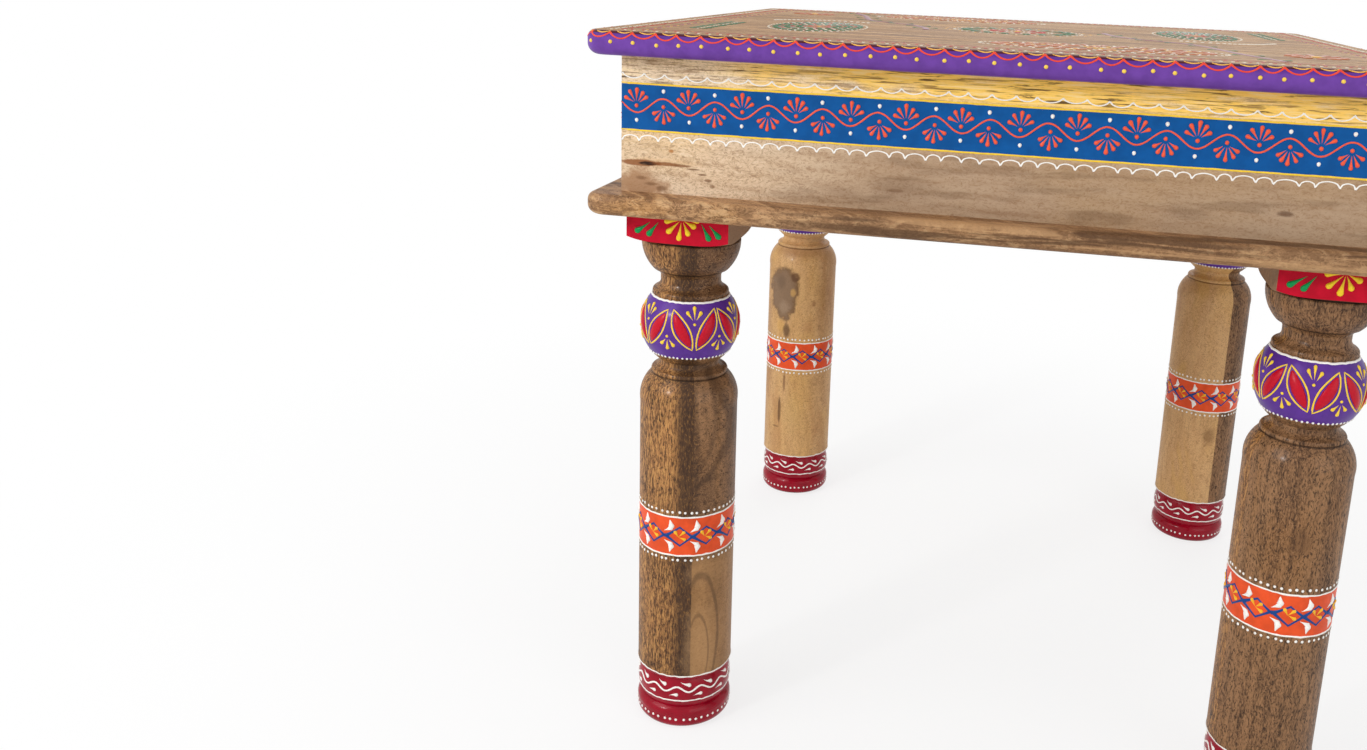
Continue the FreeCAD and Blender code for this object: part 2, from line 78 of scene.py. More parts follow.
# Heights of the painted grounds, and turned sizes of the leg
BAND_LOW = 393.7 * MM
BAND_HIGH = 420.0 * MM
HEAD_LOW = 326.5 * MM
BALL_LOW = 253.7 * MM
BALL_HIGH = 288.7 * MM
RING_LOW = 124.8 * MM
RING_HIGH = 151.0 * MM
FOOT_HIGH = 38.9 * MM
BALL_RADIUS = 28.5 * MM
BODY_RADIUS = 30.8 * MM
SEAM_TURN = math.radians(23)


# Colours of the brushed grounds as they look under plain light, red green blue from 0 to 255
PURPLE = (104, 62, 150)
PURPLE_SHADE = (74, 38, 126)
BALL_PURPLE = (86, 44, 138)
BLUE = (0, 78, 144)
RED = (192, 14, 42)
FOOT_RED = (146, 4, 30)
ORANGE = (222, 78, 32)
MAROON = (74, 18, 32)

# Colours of the raised paint
CONE_PAINTS = {
    "salmon": (240, 92, 62),
    "yellow": (252, 206, 62),
    "white": (253, 246, 238),
    "green": (0, 150, 78),
    "swag_red": (232, 70, 44),
    "pearl_gold": (254, 204, 84),
    "thread_gold": (238, 176, 78),
    "petal_yellow": (255, 212, 44),
    "core_red": (190, 4, 34),
    "chain_blue": (6, 64, 134),
    "sprig_gold": (252, 186, 44),
    "berry_red": (178, 42, 40),
    "leaf_green": (52, 98, 56),
    "aged_white": (232, 226, 210),
    "aged_gold": (214, 160, 70),
    "rose": (150, 48, 62),
    "ochre": (172, 96, 50),
    "wine": (112, 10, 44),
}


def linear(colour):
    """A colour as it looks on a screen, in linear light."""
    shares = [part / 255 for part in colour]
    return (*[part / 12.92 if part <= 0.04045 else ((part + 0.055) / 1.055) ** 2.4 for part in shares], 1)


class Wire:
    """A socket of a node tree that can be used in sums."""

    def __init__(self, tree, socket):
        self.tree = tree
        self.socket = socket

    def __add__(self, other):
        return self.tree.math("ADD", self, other)

    def __sub__(self, other):
        return self.tree.math("SUBTRACT", self, other)

    def __rsub__(self, other):
        return self.tree.math("SUBTRACT", other, self)

    def __mul__(self, other):
        return self.tree.math("MULTIPLY", self, other)

    def __truediv__(self, other):
        return self.tree.math("DIVIDE", self, other)

    def __pow__(self, other):
        return self.tree.math("POWER", self, other)

    def __abs__(self):
        return self.tree.math("ABSOLUTE", self)

    __radd__ = __add__
    __rmul__ = __mul__

    def other(self, name):
        """Another output of the same node."""
        return Wire(self.tree, self.socket.node.outputs[name])


class Tree:
    """A node tree being built, of a material or of geometry."""

    def __init__(self, group):
        self.group = group

    def node(self, kind, settings=None, inputs=None, output=0):
        """Adds a node. Its settings come first, then the values or links of its sockets."""
        made = self.group.nodes.new(kind)
        for name, value in (settings or {}).items():
            setattr(made, name, value)
        for key, value in (inputs or {}).items():
            socket = made.inputs[key]
            if isinstance(value, Wire):
                self.group.links.new(value.socket, socket)
            else:
                socket.default_value = value
        return Wire(self, made.outputs[output] if made.outputs else None)

    def math(self, operation, *values):
        return self.node("ShaderNodeMath", {"operation": operation}, dict(enumerate(values)))

    def vector(self, operation, *values):
        return self.node("ShaderNodeVectorMath", {"operation": operation}, dict(enumerate(values)))

    def scaled(self, vector, amount):
        return self.node("ShaderNodeVectorMath", {"operation": "SCALE"}, {0: vector, "Scale": amount})

    def parts(self, vector):
        split = self.node("ShaderNodeSeparateXYZ", None, {0: vector})
        return split, split.other("Y"), split.other("Z")

    def join(self, x, y, z):
        return self.node("ShaderNodeCombineXYZ", None, {0: x, 1: y, 2: z})

    def rise(self, value, low, high, start=0.0, end=1.0):
        """Goes smoothly from start to end while the value goes from low to high."""
        settings = {"interpolation_type": "SMOOTHSTEP"}
        return self.node("ShaderNodeMapRange", settings, {0: value, 1: low, 2: high, 3: start, 4: end})

    def within(self, value, low, high, soft):
        """1 between low and high, with soft edges."""
        started = self.rise(value, low - soft, low + soft)
        return started * self.rise(value, high - soft, high + soft, 1.0, 0.0)

    def blend(self, share, first, second):
        return self.node("ShaderNodeMix", {"data_type": "RGBA"}, {0: share, 6: first, 7: second}, 2)

    def noise(self, spot, scale, detail, roughness, warp=0.0):
        inputs = {"Vector": spot, "Scale": scale, "Detail": detail, "Roughness": roughness,
                  "Distortion": warp}
        return self.node("ShaderNodeTexNoise", None, inputs)

    def spot(self):
        """The place that is being coloured."""
        return self.node("ShaderNodeTexCoord").other("Object")

    def root(self, first, second):
        """The length of a distance with these two parts."""
        return self.math("SQRT", first * first + second * second)


def new_material(name):
    """An empty material and its tree."""
    material = bpy.data.materials.new(name)
    material.use_nodes = True
    tree = Tree(material.node_tree)
    tree.group.nodes.clear()
    return material, tree


def finish_material(tree, colour, roughness, height, bump, depth, coat, shine, metal=0.0):
    """Ends a material in one Principled shader."""
    normal = tree.node("ShaderNodeBump", None, {"Strength": bump, "Distance": depth, "Height": height})
    inputs = {"Base Color": colour, "Roughness": roughness, "Metallic": metal, "Normal": normal,
              "Coat Weight": coat, "Coat Roughness": 0.18, "Specular IOR Level": shine}
    shader = tree.node("ShaderNodeBsdfPrincipled", None, inputs)
    tree.node("ShaderNodeOutputMaterial", None, {"Surface": shader})


# Wood

# Each wood: pale, middle, dark, tint of its patches, colour of its pores
WOODS = {
    "top": ((200, 160, 116), (168, 128, 88), (92, 62, 42), (194, 144, 82), (62, 40, 28)),
    "apron": ((232, 210, 182), (216, 188, 156), (166, 131, 99), (228, 193, 140), (128, 98, 71)),
    "rail": ((192, 150, 108), (157, 116, 79), (86, 58, 39), (188, 138, 80), (54, 35, 25)),
    "leg_brown": ((170, 120, 72), (120, 81, 48), (54, 34, 22), (166, 110, 50), (28, 18, 12)),
    "leg_tan": ((154, 114, 78), (110, 78, 53), (56, 38, 26), (140, 97, 56), (32, 21, 15)),
    "leg_pale": ((218, 176, 124), (196, 152, 102), (146, 102, 62), (212, 164, 88), (104, 70, 44)),
    "inner": ((205, 176, 136), (184, 150, 110), (150, 114, 78), (196, 160, 100), (110, 80, 54)),
}

# Streaks: the noise at which they start to show and at which they are full, their strength, their colour
TOP_STREAKS = ((0.52, 0.66, 0.6, (104, 76, 56)), (0.46, 0.34, 0.4, (206, 176, 138)))
APRON_STREAKS = ((0.47, 0.38, 0.5, (250, 226, 178)), (0.51, 0.60, 0.66, (138, 106, 70)))
RAIL_VEINS = ((0.50, 0.62, 0.6, (112, 78, 52)), (0.46, 0.36, 0.45, (224, 184, 136)))
RAIL_BANDS = ((0.52, 0.62, 0.7, (78, 54, 36)), (0.47, 0.38, 0.4, (204, 162, 116)))
LEG_FLECKS = ((0.52, 0.59, 0.55, (200, 148, 86)), (0.48, 0.40, 0.6, (56, 37, 24)))
LEG_CLOUDS = ((0.52, 0.62, 0.4, (166, 112, 66)), (0.44, 0.36, 0.35, (212, 168, 92)))
LEG_SPECKS = ((0.52, 0.62, 0.22, (70, 50, 36)),)
CORE_FLECKS = ((0.46, 0.36, 0.45, (150, 106, 54)),)

# Stains of larger parts
APRON_GOLD = (255, 208, 96)
APRON_DARK = (58, 42, 32)
APRON_SHADE = (144, 111, 81)
APRON_CLOUD = (112, 84, 60)
RAIL_SHADE = (122, 90, 62)
CORE_DARK = (58, 39, 28)
GROWTH_LINE = (66, 46, 32)
LOWER_LEG = (182, 136, 84)
BARE_HEAD = (176, 142, 112)


class Grain:
    """The colour, roughness and height of one piece of wood, its grain along one axis."""

    def __init__(self, node, wood, along_axis, seed, rings=0.3, grit=0.5, curl=0.0, spread=60 * MM):
        self.node = node
        self.material, tree = new_material(("sawn_" if wood == "inner" else "mango_") + node)
        chance = random.Random(seed)
        low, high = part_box(node)
        middle = (low + high) / 2
        spot = tree.spot()
        self.tree = tree
        self.spot = spot
        self.x, self.y, self.z = tree.parts(spot)
        order = {"x": "xyz", "y": "yxz", "z": "zxy"}[along_axis]
        along, wide, deep = [getattr(self, axis) for axis in order]
        self.along = along
        shift = chance.uniform(-5, 5)

        def drawn_out(along_scale, across_scale, push):
            """The place in the wood, with its pattern drawn out along the grain."""
            sideways = [part * across_scale + push for part in (wide, deep)]
            return tree.join(along * along_scale + shift, *sideways)

        # Waves of the whole trunk, and small swirls that push the fibres about
        warp = tree.noise(drawn_out(9.0, 22.0, 0.0), 1.0, 2.0, 0.5)
        patch = tree.noise(drawn_out(7.0, 32.0, 0.0), 1.0, 3.0, 0.55, 0.6)
        swirl = tree.noise(spot, 130.0, 2.0, 0.5, 0.6)
        bend = (swirl - 0.5) * (curl * 18.0)

        # Growth rings about a heart that lies beside the piece
        heart = []
        for across, axis in ((wide, order[1]), (deep, order[2])):
            start = getattr(middle, axis) + chance.choice((-1, 1)) * chance.uniform(0.4, 1.0) * spread
            heart.append(across - (along * chance.uniform(-0.12, 0.12) + start))
        turns = tree.root(*heart) * 150.0 + warp * 3.2 + swirl * (curl * 2.4)
        ring = tree.math("SINE", turns * math.tau) * 0.5 + 0.5

        # Fibres and pores
        fibre = tree.noise(drawn_out(14.0 + 90.0 * curl, 430.0, bend), 1.0, 4.0, 0.6)
        speck = tree.noise(drawn_out(260.0 + 330.0 * curl, 1150.0, bend * 2.2), 1.0, 3.0, 0.66)
        pores = tree.rise(speck, 0.51, 0.62)

        pale, body, dark, tint, pore = [linear(colour) for colour in WOODS[wood]]
        colour = tree.blend(tree.rise(patch, 0.34, 0.66), body, pale)
        colour = tree.blend(tree.rise(warp, 0.50, 0.68) * 0.5, colour, tint)
        colour = tree.blend(tree.rise(ring, 0.3, 1.0) * tree.rise(fibre, 0.25, 0.6) * rings, colour, dark)
        colour = tree.blend(tree.rise(fibre, 0.50, 0.72) * 0.5, colour, dark)
        colour = tree.blend(tree.rise(fibre, 0.46, 0.26) * 0.45, colour, pale)
        colour = tree.blend(tree.rise(speck, 0.48, 0.36) * grit, colour, pale)
        self.colour = tree.blend(pores * grit, colour, pore)
        self.roughness = 0.44 + fibre * 0.2 + pores * 0.12
        self.height = fibre * 0.5 - pores * 0.5 + ring * 0.12
        self.pore = pore
        self.fibre = fibre
        self.patch = patch
        self.speck = speck

    def stain(self, share, colour):
        """Darkens or tints the wood where the share says."""
        self.colour = self.tree.blend(share, self.colour, linear(colour))

    def streak(self, noise, streaks, share=1.0):
        """Stains the wood where a noise is high or low."""
        for start, full, strength, colour in streaks:
            self.stain(self.tree.rise(noise, start, full) * strength * share, colour)

    def ragged(self, amount):
        """How far a brushed edge strays."""
        return (self.patch - 0.5) * amount

    def paint(self, share, colour, gloss):
        """Brushes paint over the wood: it dries with faint streaks, and its skin fills the pores."""
        tree = self.tree
        streak = tree.noise(self.spot, 120.0, 3.0, 0.55)
        lighter = linear([min(255, part * 1.03 + 3) for part in colour])
        darker = linear([part * 0.95 for part in colour])
        body = tree.blend(tree.rise(streak, 0.3, 0.7), darker, lighter)
        self.colour = tree.blend(share, self.colour, body)
        self.roughness = self.roughness * (1 - share) + (gloss + (streak - 0.5) * 0.1) * share
        self.height = self.height * (1 - share * 0.9) + (streak * 0.3 + 0.35) * share

    def finish(self, bump=0.35, coat=0.0, shine=0.12):
        """Ends the wood's material and gives it to its piece."""
        finish_material(self.tree, self.colour, self.roughness, self.height, bump, 0.25 * MM, coat, shine)
        assign(self.node, self.material)


def oval(grain, across, up, middle_across, middle_up, reach_across, reach_up):
    """The distance from an oval's middle, which is 1 on its outline."""
    off_across = (across - middle_across * MM) / (reach_across * MM)
    return grain.tree.root(off_across, (up - middle_up * MM) / (reach_up * MM))


def spots(grain, across, up, marks):
    """Knots, cracks and stains, and some painted shade, each an oval with a ragged edge."""
    ragged = (grain.tree.noise(grain.spot, 80.0, 5.0, 0.7) - 0.5) * 1.1
    for *place, strength, colour, soft in marks:
        far = oval(grain, across, up, *place) + ragged
        grain.stain(grain.tree.rise(far, 1.0, 1.0 - soft) * strength, colour)


def assign(node, material):
    mesh = frame["nodes"][node].data
    mesh.materials.clear()
    mesh.materials.append(material)


def edge_distance(grain):
    """The larger of the distances from the table's middle along X and along Y."""
    return grain.tree.math("MAXIMUM", abs(grain.x), abs(grain.y))


def rounded_distance(grain, straight):
    """The same, but measured round the corners beyond the straight part of each side."""
    tree = grain.tree
    over_x = abs(grain.x) - straight
    over_y = abs(grain.y) - straight
    inside = tree.math("MINIMUM", tree.math("MAXIMUM", over_x, over_y), 0.0)
    out = tree.root(tree.math("MAXIMUM", over_x, 0.0), tree.math("MAXIMUM", over_y, 0.0))
    return out + inside + straight


def dress_top():
    """Bare boards with a purple rim, which darkens near the swags and ends in a maroon line."""
    for number, name in enumerate(TOP_BOARDS, 1):
        grain = Grain(name, "top", "x", 20 + number, rings=0.6)
        tree = grain.tree
        streaks = tree.noise(tree.join(grain.x * 9.0, grain.y * 150.0, number * 2.3), 1.0, 3.0, 0.6, 0.4)
        grain.streak(streaks, TOP_STREAKS)
        low = tree.rise(grain.z, TOP - 6 * MM, TOP - 10 * MM)
        edge = (RIM_FACE - 4.0 * MM) - low * 1.8 * MM + grain.ragged(0.9 * MM)
        out = rounded_distance(grain, RIM_FACE - RIM_CORNER) - edge
        painted = tree.rise(out, -0.15 * MM, 0.15 * MM)
        grain.paint(painted, PURPLE, 0.4)
        grain.stain(painted * tree.rise(grain.z, TOP - 4.6 * MM, TOP - 2.4 * MM) * 0.55, PURPLE_SHADE)
        grain.paint(painted * tree.rise(grain.z, TOP - 1.6 * MM, TOP - 1.2 * MM), MAROON, 0.4)
        grain.finish(coat=painted * 0.06, shine=0.08)


# Marks of the wood: across, height, half width, half height, strength, colour, softness
FRONT_MARKS = (
    (-52, 371.0, 28, 9.0, 0.4, (112, 84, 62), 0.9),
    (-86, 366.0, 16, 4.0, 0.35, (128, 96, 70), 0.9),
    (-194, 375.2, 30, 3.2, 0.5, (206, 164, 116), 0.8),
    (-207, 374.5, 17, 2.0, 0.9, (140, 86, 48), 0.4),
    (-201, 374.3, 7, 1.2, 0.95, (38, 24, 18), 0.5),
    (-191, 374.6, 10, 1.7, 0.85, (132, 80, 44), 0.5),
    (-182, 374.2, 8, 1.2, 0.8, (120, 74, 42), 0.6),
    (-174.5, 372.6, 5, 0.7, 0.8, (112, 76, 48), 0.5),
    (-169.5, 369.8, 3.4, 0.8, 0.75, (112, 76, 48), 0.5),
    (-165.6, 366.6, 2.4, 1.1, 0.7, (116, 80, 52), 0.5),
    (-163, 363.4, 1.7, 1.4, 0.6, (124, 88, 58), 0.5),
    (-207, 361.5, 20, 11.0, 0.85, (164, 122, 86), 0.5),
    (-206, 365.6, 5, 1.7, 0.6, (112, 76, 48), 0.7),
    (-200, 362.4, 6, 1.5, 0.6, (112, 76, 48), 0.7),
    (-194, 360.0, 4, 2.4, 0.65, (112, 76, 48), 0.7),
    (-188, 382.4, 2.2, 1.5, 0.9, (176, 118, 64), 0.6),
    (-56, 369.0, 6, 1.2, 0.6, (118, 86, 62), 0.6),
    (6, 360.5, 34, 2.2, 0.35, (134, 98, 70), 0.8),
    (152, 372.0, 5, 2.0, 0.7, (88, 56, 38), 0.6),
)
SIDE_MARKS = (
    (-120, 373.5, 40, 2.0, 0.5, (118, 78, 50), 0.6),
    (60, 367.5, 60, 16.0, 0.5, (166, 130, 96), 0.9),
    (140, 381.5, 4, 2.0, 0.7, (86, 54, 36), 0.5),
    (10, 427.5, 50, 3.0, 0.4, (196, 146, 70), 0.7),
)
GRAIN_AXES = {"front": "x", "back": "x", "left": "y", "right": "y"}


def dress_apron():
    """Pale boards with a blue band, golden and streaked above it, darker to the right below it."""
    marks = {"front": FRONT_MARKS, "back": SIDE_MARKS, "left": SIDE_MARKS, "right": SIDE_MARKS}
    for number, (name, sense) in enumerate((("front", 1), ("back", -1), ("left", -1), ("right", 1))):
        grain = Grain(f"apron_{name}", "apron", GRAIN_AXES[name], 41 + number, grit=0.46, curl=0.3)
        tree = grain.tree
        across = grain.along * sense
        upper = tree.rise(grain.z, 419 * MM, 423 * MM)
        streak_spot = tree.join(grain.along * 42.0, grain.z * 780.0, number * 3.7)
        streaks = tree.noise(streak_spot, 1.0, 4.0, 0.66, 0.5)
        clouds = tree.noise(tree.join(grain.along * 16.0, grain.z * 90.0, number * 5.1), 1.0, 3.0, 0.6)
        golden = tree.rise(across, -175 * MM, -120 * MM) * 0.85 + 0.08
        grain.stain(upper * tree.rise(clouds, 0.30, 0.50) * golden, APRON_GOLD)
        grain.streak(streaks, APRON_STREAKS, upper)
        dark = tree.rise(streaks, 0.54, 0.64) * tree.rise(clouds, 0.42, 0.58)
        grain.stain(upper * dark * 0.85, APRON_DARK)
        reach = across + (clouds - 0.5) * 60 * MM
        shade = tree.rise(reach, -175 * MM, -55 * MM) * tree.rise(grain.z, 402 * MM, 388 * MM)
        grain.stain(shade * 0.7, APRON_SHADE)
        grain.stain(shade * tree.rise(clouds, 0.5, 0.64) * 0.4, APRON_CLOUD)
        spots(grain, across, grain.z, marks[name])
        outer = tree.rise(edge_distance(grain), APRON_FACE - 0.5 * MM, APRON_FACE - 0.3 * MM)
        band = tree.within(grain.z + grain.ragged(0.5 * MM), BAND_LOW, BAND_HIGH, 0.15 * MM)
        grain.paint(band * outer, BLUE, 0.55)
        grain.finish(shine=0.14)


def dress_rails():
    """Veined wood, with darker bands to the right."""
    for number, name in enumerate(("front", "right", "back", "left")):
        axis = GRAIN_AXES[name]
        grain = Grain(f"rail_{name}", "rail", axis, 63 + number, rings=0.45, grit=0.55, curl=0.35)
        tree = grain.tree
        vein_spot = tree.join(grain.along * 24.0, (grain.x + grain.y) * 90.0, grain.z * 230.0)
        grain.streak(tree.noise(vein_spot, 1.0, 4.0, 0.62, 0.8), RAIL_VEINS)
        sense = -1 if name in ("back", "left") else 1
        further = tree.rise(grain.along * sense, -170 * MM, -60 * MM)
        grain.stain(further * 0.45, RAIL_SHADE)
        band_spot = tree.join(grain.along * 9.0, grain.y * 60.0, grain.z * 190.0 + number)
        grain.streak(tree.noise(band_spot, 1.0, 3.0, 0.6, 0.5), RAIL_BANDS, further)
        grain.finish(coat=0.08)


# The woods of each leg's two halves
LEG_WOODS = {
    "front_left": ("leg_brown", "leg_tan"),
    "front_right": ("leg_tan", "leg_brown"),
    "back_right": ("leg_tan", "leg_pale"),
    "back_left": ("leg_pale", "leg_pale"),
}
LEG_MARKS = {
    "front_left": (
        (-166, 60.0, 14, 40, 0.55, (190, 150, 108), 0.8),
        (-166, 112.0, 16, 14, 0.35, (178, 138, 98), 0.8),
        (-164, 176.0, 10, 3.0, 0.5, (84, 60, 42), 0.8),
    ),
    "front_right": ((185, 183.5, 9, 12, 0.5, (96, 66, 42), 0.7),),
    "back_right": ((190, 103.5, 7, 12, 0.5, (110, 76, 48), 0.7),),
    "back_left": (
        (-186, 236, 34, 7, 0.5, (158, 112, 72), 0.9),
        # Painted shade down the left and right flanks of the leg
        (-213, 150, 11, 120, 0.45, (150, 104, 64), 0.9),
        (-160, 190, 9, 60, 0.4, (150, 104, 64), 0.9),
        (-190, 196, 21, 36, 0.55, (208, 166, 108), 0.7),
        (-196, 197, 15, 28.0, 0.8, (88, 58, 38), 0.25),
        (-196.8, 196.5, 13, 26.0, 0.75, (138, 112, 88), 0.35),
        (-199, 208, 7, 10, 0.5, (102, 80, 62), 0.8),
        (-195, 184, 8, 9, 0.5, (166, 140, 114), 0.8),
        (-185.5, 214, 5, 5.5, 0.8, (98, 66, 42), 0.6),
        (-187, 199, 3.5, 5.0, 0.6, (212, 164, 92), 0.7),
        (-168, 189, 2.6, 4.6, 0.6, (138, 90, 54), 0.7),
        (-198, 166, 5.5, 8.0, 0.7, (206, 160, 94), 0.6),
        (-192, 162, 4.5, 8.5, 0.8, (92, 64, 42), 0.6),
        (-172, 166, 8.0, 9.0, 0.35, (160, 108, 70), 0.8),
        (-199, 80, 5, 22, 0.4, (170, 122, 80), 0.8),
        (-192.5, 112, 1.7, 13, 0.7, (122, 84, 54), 0.6),
        (-196.5, 84, 1.7, 17, 0.85, (98, 64, 42), 0.5),
        (-200, 66.5, 5.0, 1.6, 0.6, (112, 78, 52), 0.7),
        (-184, 82, 15, 30, 0.3, (204, 168, 98), 0.9),
    ),
}


# Dark growth lines in the light half of the front left leg: middle across, height, half sizes, strength
LEG_ARCHES = (
    (-168.0, 66.0, 9.5, 46.0, 0.45),
    (-168.5, 56.0, 6.0, 28.0, 0.4),
    (-180.0, 208.0, 26.0, 38.0, 0.5),
    (-180.0, 214.0, 20.0, 36.0, 0.35),
)


def arches(grain):
    """Growth lines that a turned leg cuts into pointed arches."""
    for *place, strength in LEG_ARCHES:
        far = oval(grain, grain.x, grain.z, *place) + grain.ragged(0.35)
        grain.stain(grain.tree.rise(abs(far - 1.0), 0.09, 0.02) * strength, GROWTH_LINE)


def heartwood(grain, half):
    """The dark core beside the glue seam of the front left leg."""
    tree = grain.tree
    across = (grain.x + LEG_AXIS) * math.cos(SEAM_TURN) + (grain.y + LEG_AXIS) * math.sin(SEAM_TURN)
    stray = (grain.fibre - 0.5) * 9 * MM + grain.ragged(5 * MM)
    reach = 15 * MM if half == "a" else 8 * MM - grain.z * 0.02
    core = tree.rise(abs(across) + stray, reach, reach * 0.45)
    grain.stain(core * (0.88 if half == "a" else 0.5), CORE_DARK)
    grain.streak(grain.speck, CORE_FLECKS, core)


def dress_legs():
    """Turned legs, each glued from two halves of different wood."""
    seed = 80
    for name, woods in LEG_WOODS.items():
        for half, wood in zip("ab", woods):
            seed += 1
            node = f"leg_{name}_half_{half}"
            rings, grit = (0.18, 0.22) if wood == "leg_pale" else (0.4, 0.75)
            curl = 0.15 if half == "a" else 0.8
            grain = Grain(node, wood, "z", seed, rings, grit, curl, spread=26 * MM)
            tree = grain.tree
            if wood == "leg_brown":
                fleck_spot = tree.join(grain.z * 180.0, grain.x * 900.0, grain.y * 900.0)
                grain.streak(tree.noise(fleck_spot, 1.0, 3.0, 0.62), LEG_FLECKS)
            if wood == "leg_pale":
                grain.streak(grain.patch, LEG_CLOUDS)
            if name == "front_left":
                heartwood(grain, half)
            spots(grain, grain.x, grain.z, LEG_MARKS[name])
            grain.streak(grain.speck, LEG_SPECKS)
            if name == "front_left" and half == "b":
                grain.stain(tree.rise(grain.z, 128 * MM, 116 * MM) * 0.4, LOWER_LEG)
                arches(grain)
            varnish = tree.rise(grain.z, HEAD_LOW, HEAD_LOW - 2 * MM)
            grain.stain((1 - varnish) * 0.55, BARE_HEAD)
            paint_leg(grain)
            grain.roughness = grain.roughness + (1 - varnish) * 0.2
            grain.finish(coat=varnish * 0.2, shine=0.1)


# Painted shadows in the creases of the leg, under the head, the lip and the collar: low, high, strength
CREASE_SHADOWS = ((324.8, 326.6, 0.9), (304.6, 305.9, 0.75), (238.3, 239.4, 0.65))


def paint_leg(grain):
    """Painted shadows in the creases, then a red head, purple ball, orange ring and red foot."""
    tree = grain.tree
    height = grain.z + grain.ragged(0.5 * MM)
    # Painted shadow: each crease is darkened to the colour of the wood's pores
    for low, high, strength in CREASE_SHADOWS:
        share = tree.within(grain.z, low * MM, high * MM, 0.2 * MM) * strength
        grain.colour = tree.blend(share, grain.colour, grain.pore)
    outward = tree.rise(edge_distance(grain), HEAD_FACE - 0.5 * MM, HEAD_FACE - 0.3 * MM)
    grain.paint(tree.rise(height, HEAD_LOW - 0.2 * MM, HEAD_LOW + 0.2 * MM) * outward, RED, 0.46)
    grain.paint(tree.within(height, BALL_LOW, BALL_HIGH, 0.2 * MM), BALL_PURPLE, 0.42)
    grain.paint(tree.within(height, RING_LOW, RING_HIGH, 0.2 * MM), ORANGE, 0.46)
    grain.paint(tree.rise(height, FOOT_HIGH + 0.3 * MM, FOOT_HIGH - 0.3 * MM), FOOT_RED, 0.2)


def dress_inner():
    """Sawn blocks and cleats, rough from the saw."""
    names = [f"corner_block_{name}" for name in LEG_WOODS] + ["top_cleat_left", "top_cleat_right"]
    for number, name in enumerate(names):
        grain = Grain(name, "inner", "y", 120 + number)
        grain.height = grain.height + grain.tree.math("SINE", grain.along * 4200.0) * 0.4
        grain.roughness = grain.roughness + 0.2
        grain.finish(bump=0.5)


# Colour and nodes of each metal
METALS = {
    "zinc": ((176, 178, 180), ("hanger_bolts", "washers", "nuts")),
    "yellow_zinc": ((170, 158, 122), ("top_screws", "cleat_screws", "rail_screws", "block_screws")),
}


def dress_metal():
    """Zinc plating, clouded and faintly scratched."""
    for name, (colour, nodes) in METALS.items():
        material, tree = new_material(name)
        spot = tree.spot()
        cloud = tree.noise(spot, 420.0, 3.0, 0.6)
        scratch = tree.noise(spot, 2600.0, 2.0, 0.6)
        dull = linear([part * 0.78 for part in colour])
        body = tree.blend(tree.rise(cloud, 0.35, 0.7), linear(colour), dull)
        finish_material(tree, body, 0.28 + cloud * 0.2, scratch, 0.2, 0.1 * MM, 0.0, 0.5, 1.0)
        for node in nodes:
            assign(node, material)


# Paint squeezed from a cone: raised drops and lines

class Strokes:
    """One colour of raised paint: teardrops and lines, laid out flat as across and up."""

    def __init__(self):
        self.side = 0
        self.drops = []
        self.lines = []

    def drop(self, tail, head, wide, bend=0.0):
        """A teardrop from its thin tail to its fat head. Bend pushes its tail to one side."""
        across = head[0] - tail[0]
        up = head[1] - tail[1]
        middle = ((head[0] + tail[0]) / 2, (head[1] + tail[1]) / 2)
        long = math.hypot(across, up) + wide * 0.4
        self.drops.append((middle, math.atan2(across, up), long, wide, bend, self.side))

    def dot(self, across, up, wide, long=None):
        """A round drop, or an oval one if it is given a length."""
        self.drops.append(((across, up), 0.0, long or wide, wide, 0.0, self.side))

    def line(self, points, thick, closed=False):
        """Thick is one thickness, or one for each point."""
        if isinstance(thick, float):
            thick = [thick] * len(points)
        self.lines.append((points, thick, closed, self.side))


def flat_mesh(name, places, edges, attributes):
    """A loose mesh of points and edges in the upright plane, with a number for each point."""
    mesh = bpy.data.meshes.new(name)
    mesh.from_pydata([(across, 0.0, up) for across, up in places], edges, [])
    for key, values in attributes.items():
        mesh.attributes.new(key, "FLOAT", "POINT").data.foreach_set("value", values)
    return mesh


def drop_mesh(name, strokes):
    """The places of all teardrops, with the turn, sizes, bend and side of each."""
    middles, turns, longs, wides, bends, sides = zip(*strokes.drops)
    attributes = {"turn": turns, "long": longs, "wide": wides, "bend": bends, "side": sides}
    return flat_mesh(name, middles, [], attributes)


def line_mesh(name, strokes):
    """All lines, with the thickness and the side at each point."""
    places = []
    edges = []
    thicks = []
    sides = []
    for points, thick, closed, side in strokes.lines:
        start = len(places)
        places += points
        thicks += thick
        sides += [side] * len(points)
        edges += [(start + index, start + index + 1) for index in range(len(points) - 1)]
        if closed:
            edges.append((len(places) - 1, start))
    return flat_mesh(name, places, edges, {"thick": thicks, "side": sides})


def group_input(tree):
    """What a tree takes in, and its way out."""
    add = tree.group.interface.new_socket
    for name, kind in STROKE_SOCKETS.items():
        add(name=name, in_out="INPUT", socket_type="NodeSocket" + kind)
    add(name="Geometry", in_out="OUTPUT", socket_type="NodeSocketGeometry")
    return tree.node("NodeGroupInput")


def read(tree, name, kind="FLOAT"):
    """What each point keeps under a name."""
    return tree.node("GeometryNodeInputNamedAttribute", {"data_type": kind}, {"Name": name})


def keep(tree, geometry, name, place):
    """Keeps a place for each point under a name."""
    settings = {"data_type": "FLOAT_VECTOR", "domain": "POINT"}
    inputs = {"Geometry": geometry, "Name": name, "Value": place}
    return tree.node("GeometryNodeStoreNamedAttribute", settings, inputs)


# How far outside the table the rays start
REACH = 60 * MM


def from_front(tree, across, up, radius):
    """Rays that meet the front of the table squarely."""
    return tree.join(across, -RIM_FACE - REACH, up), tree.join(0.0, 1.0, 0.0)


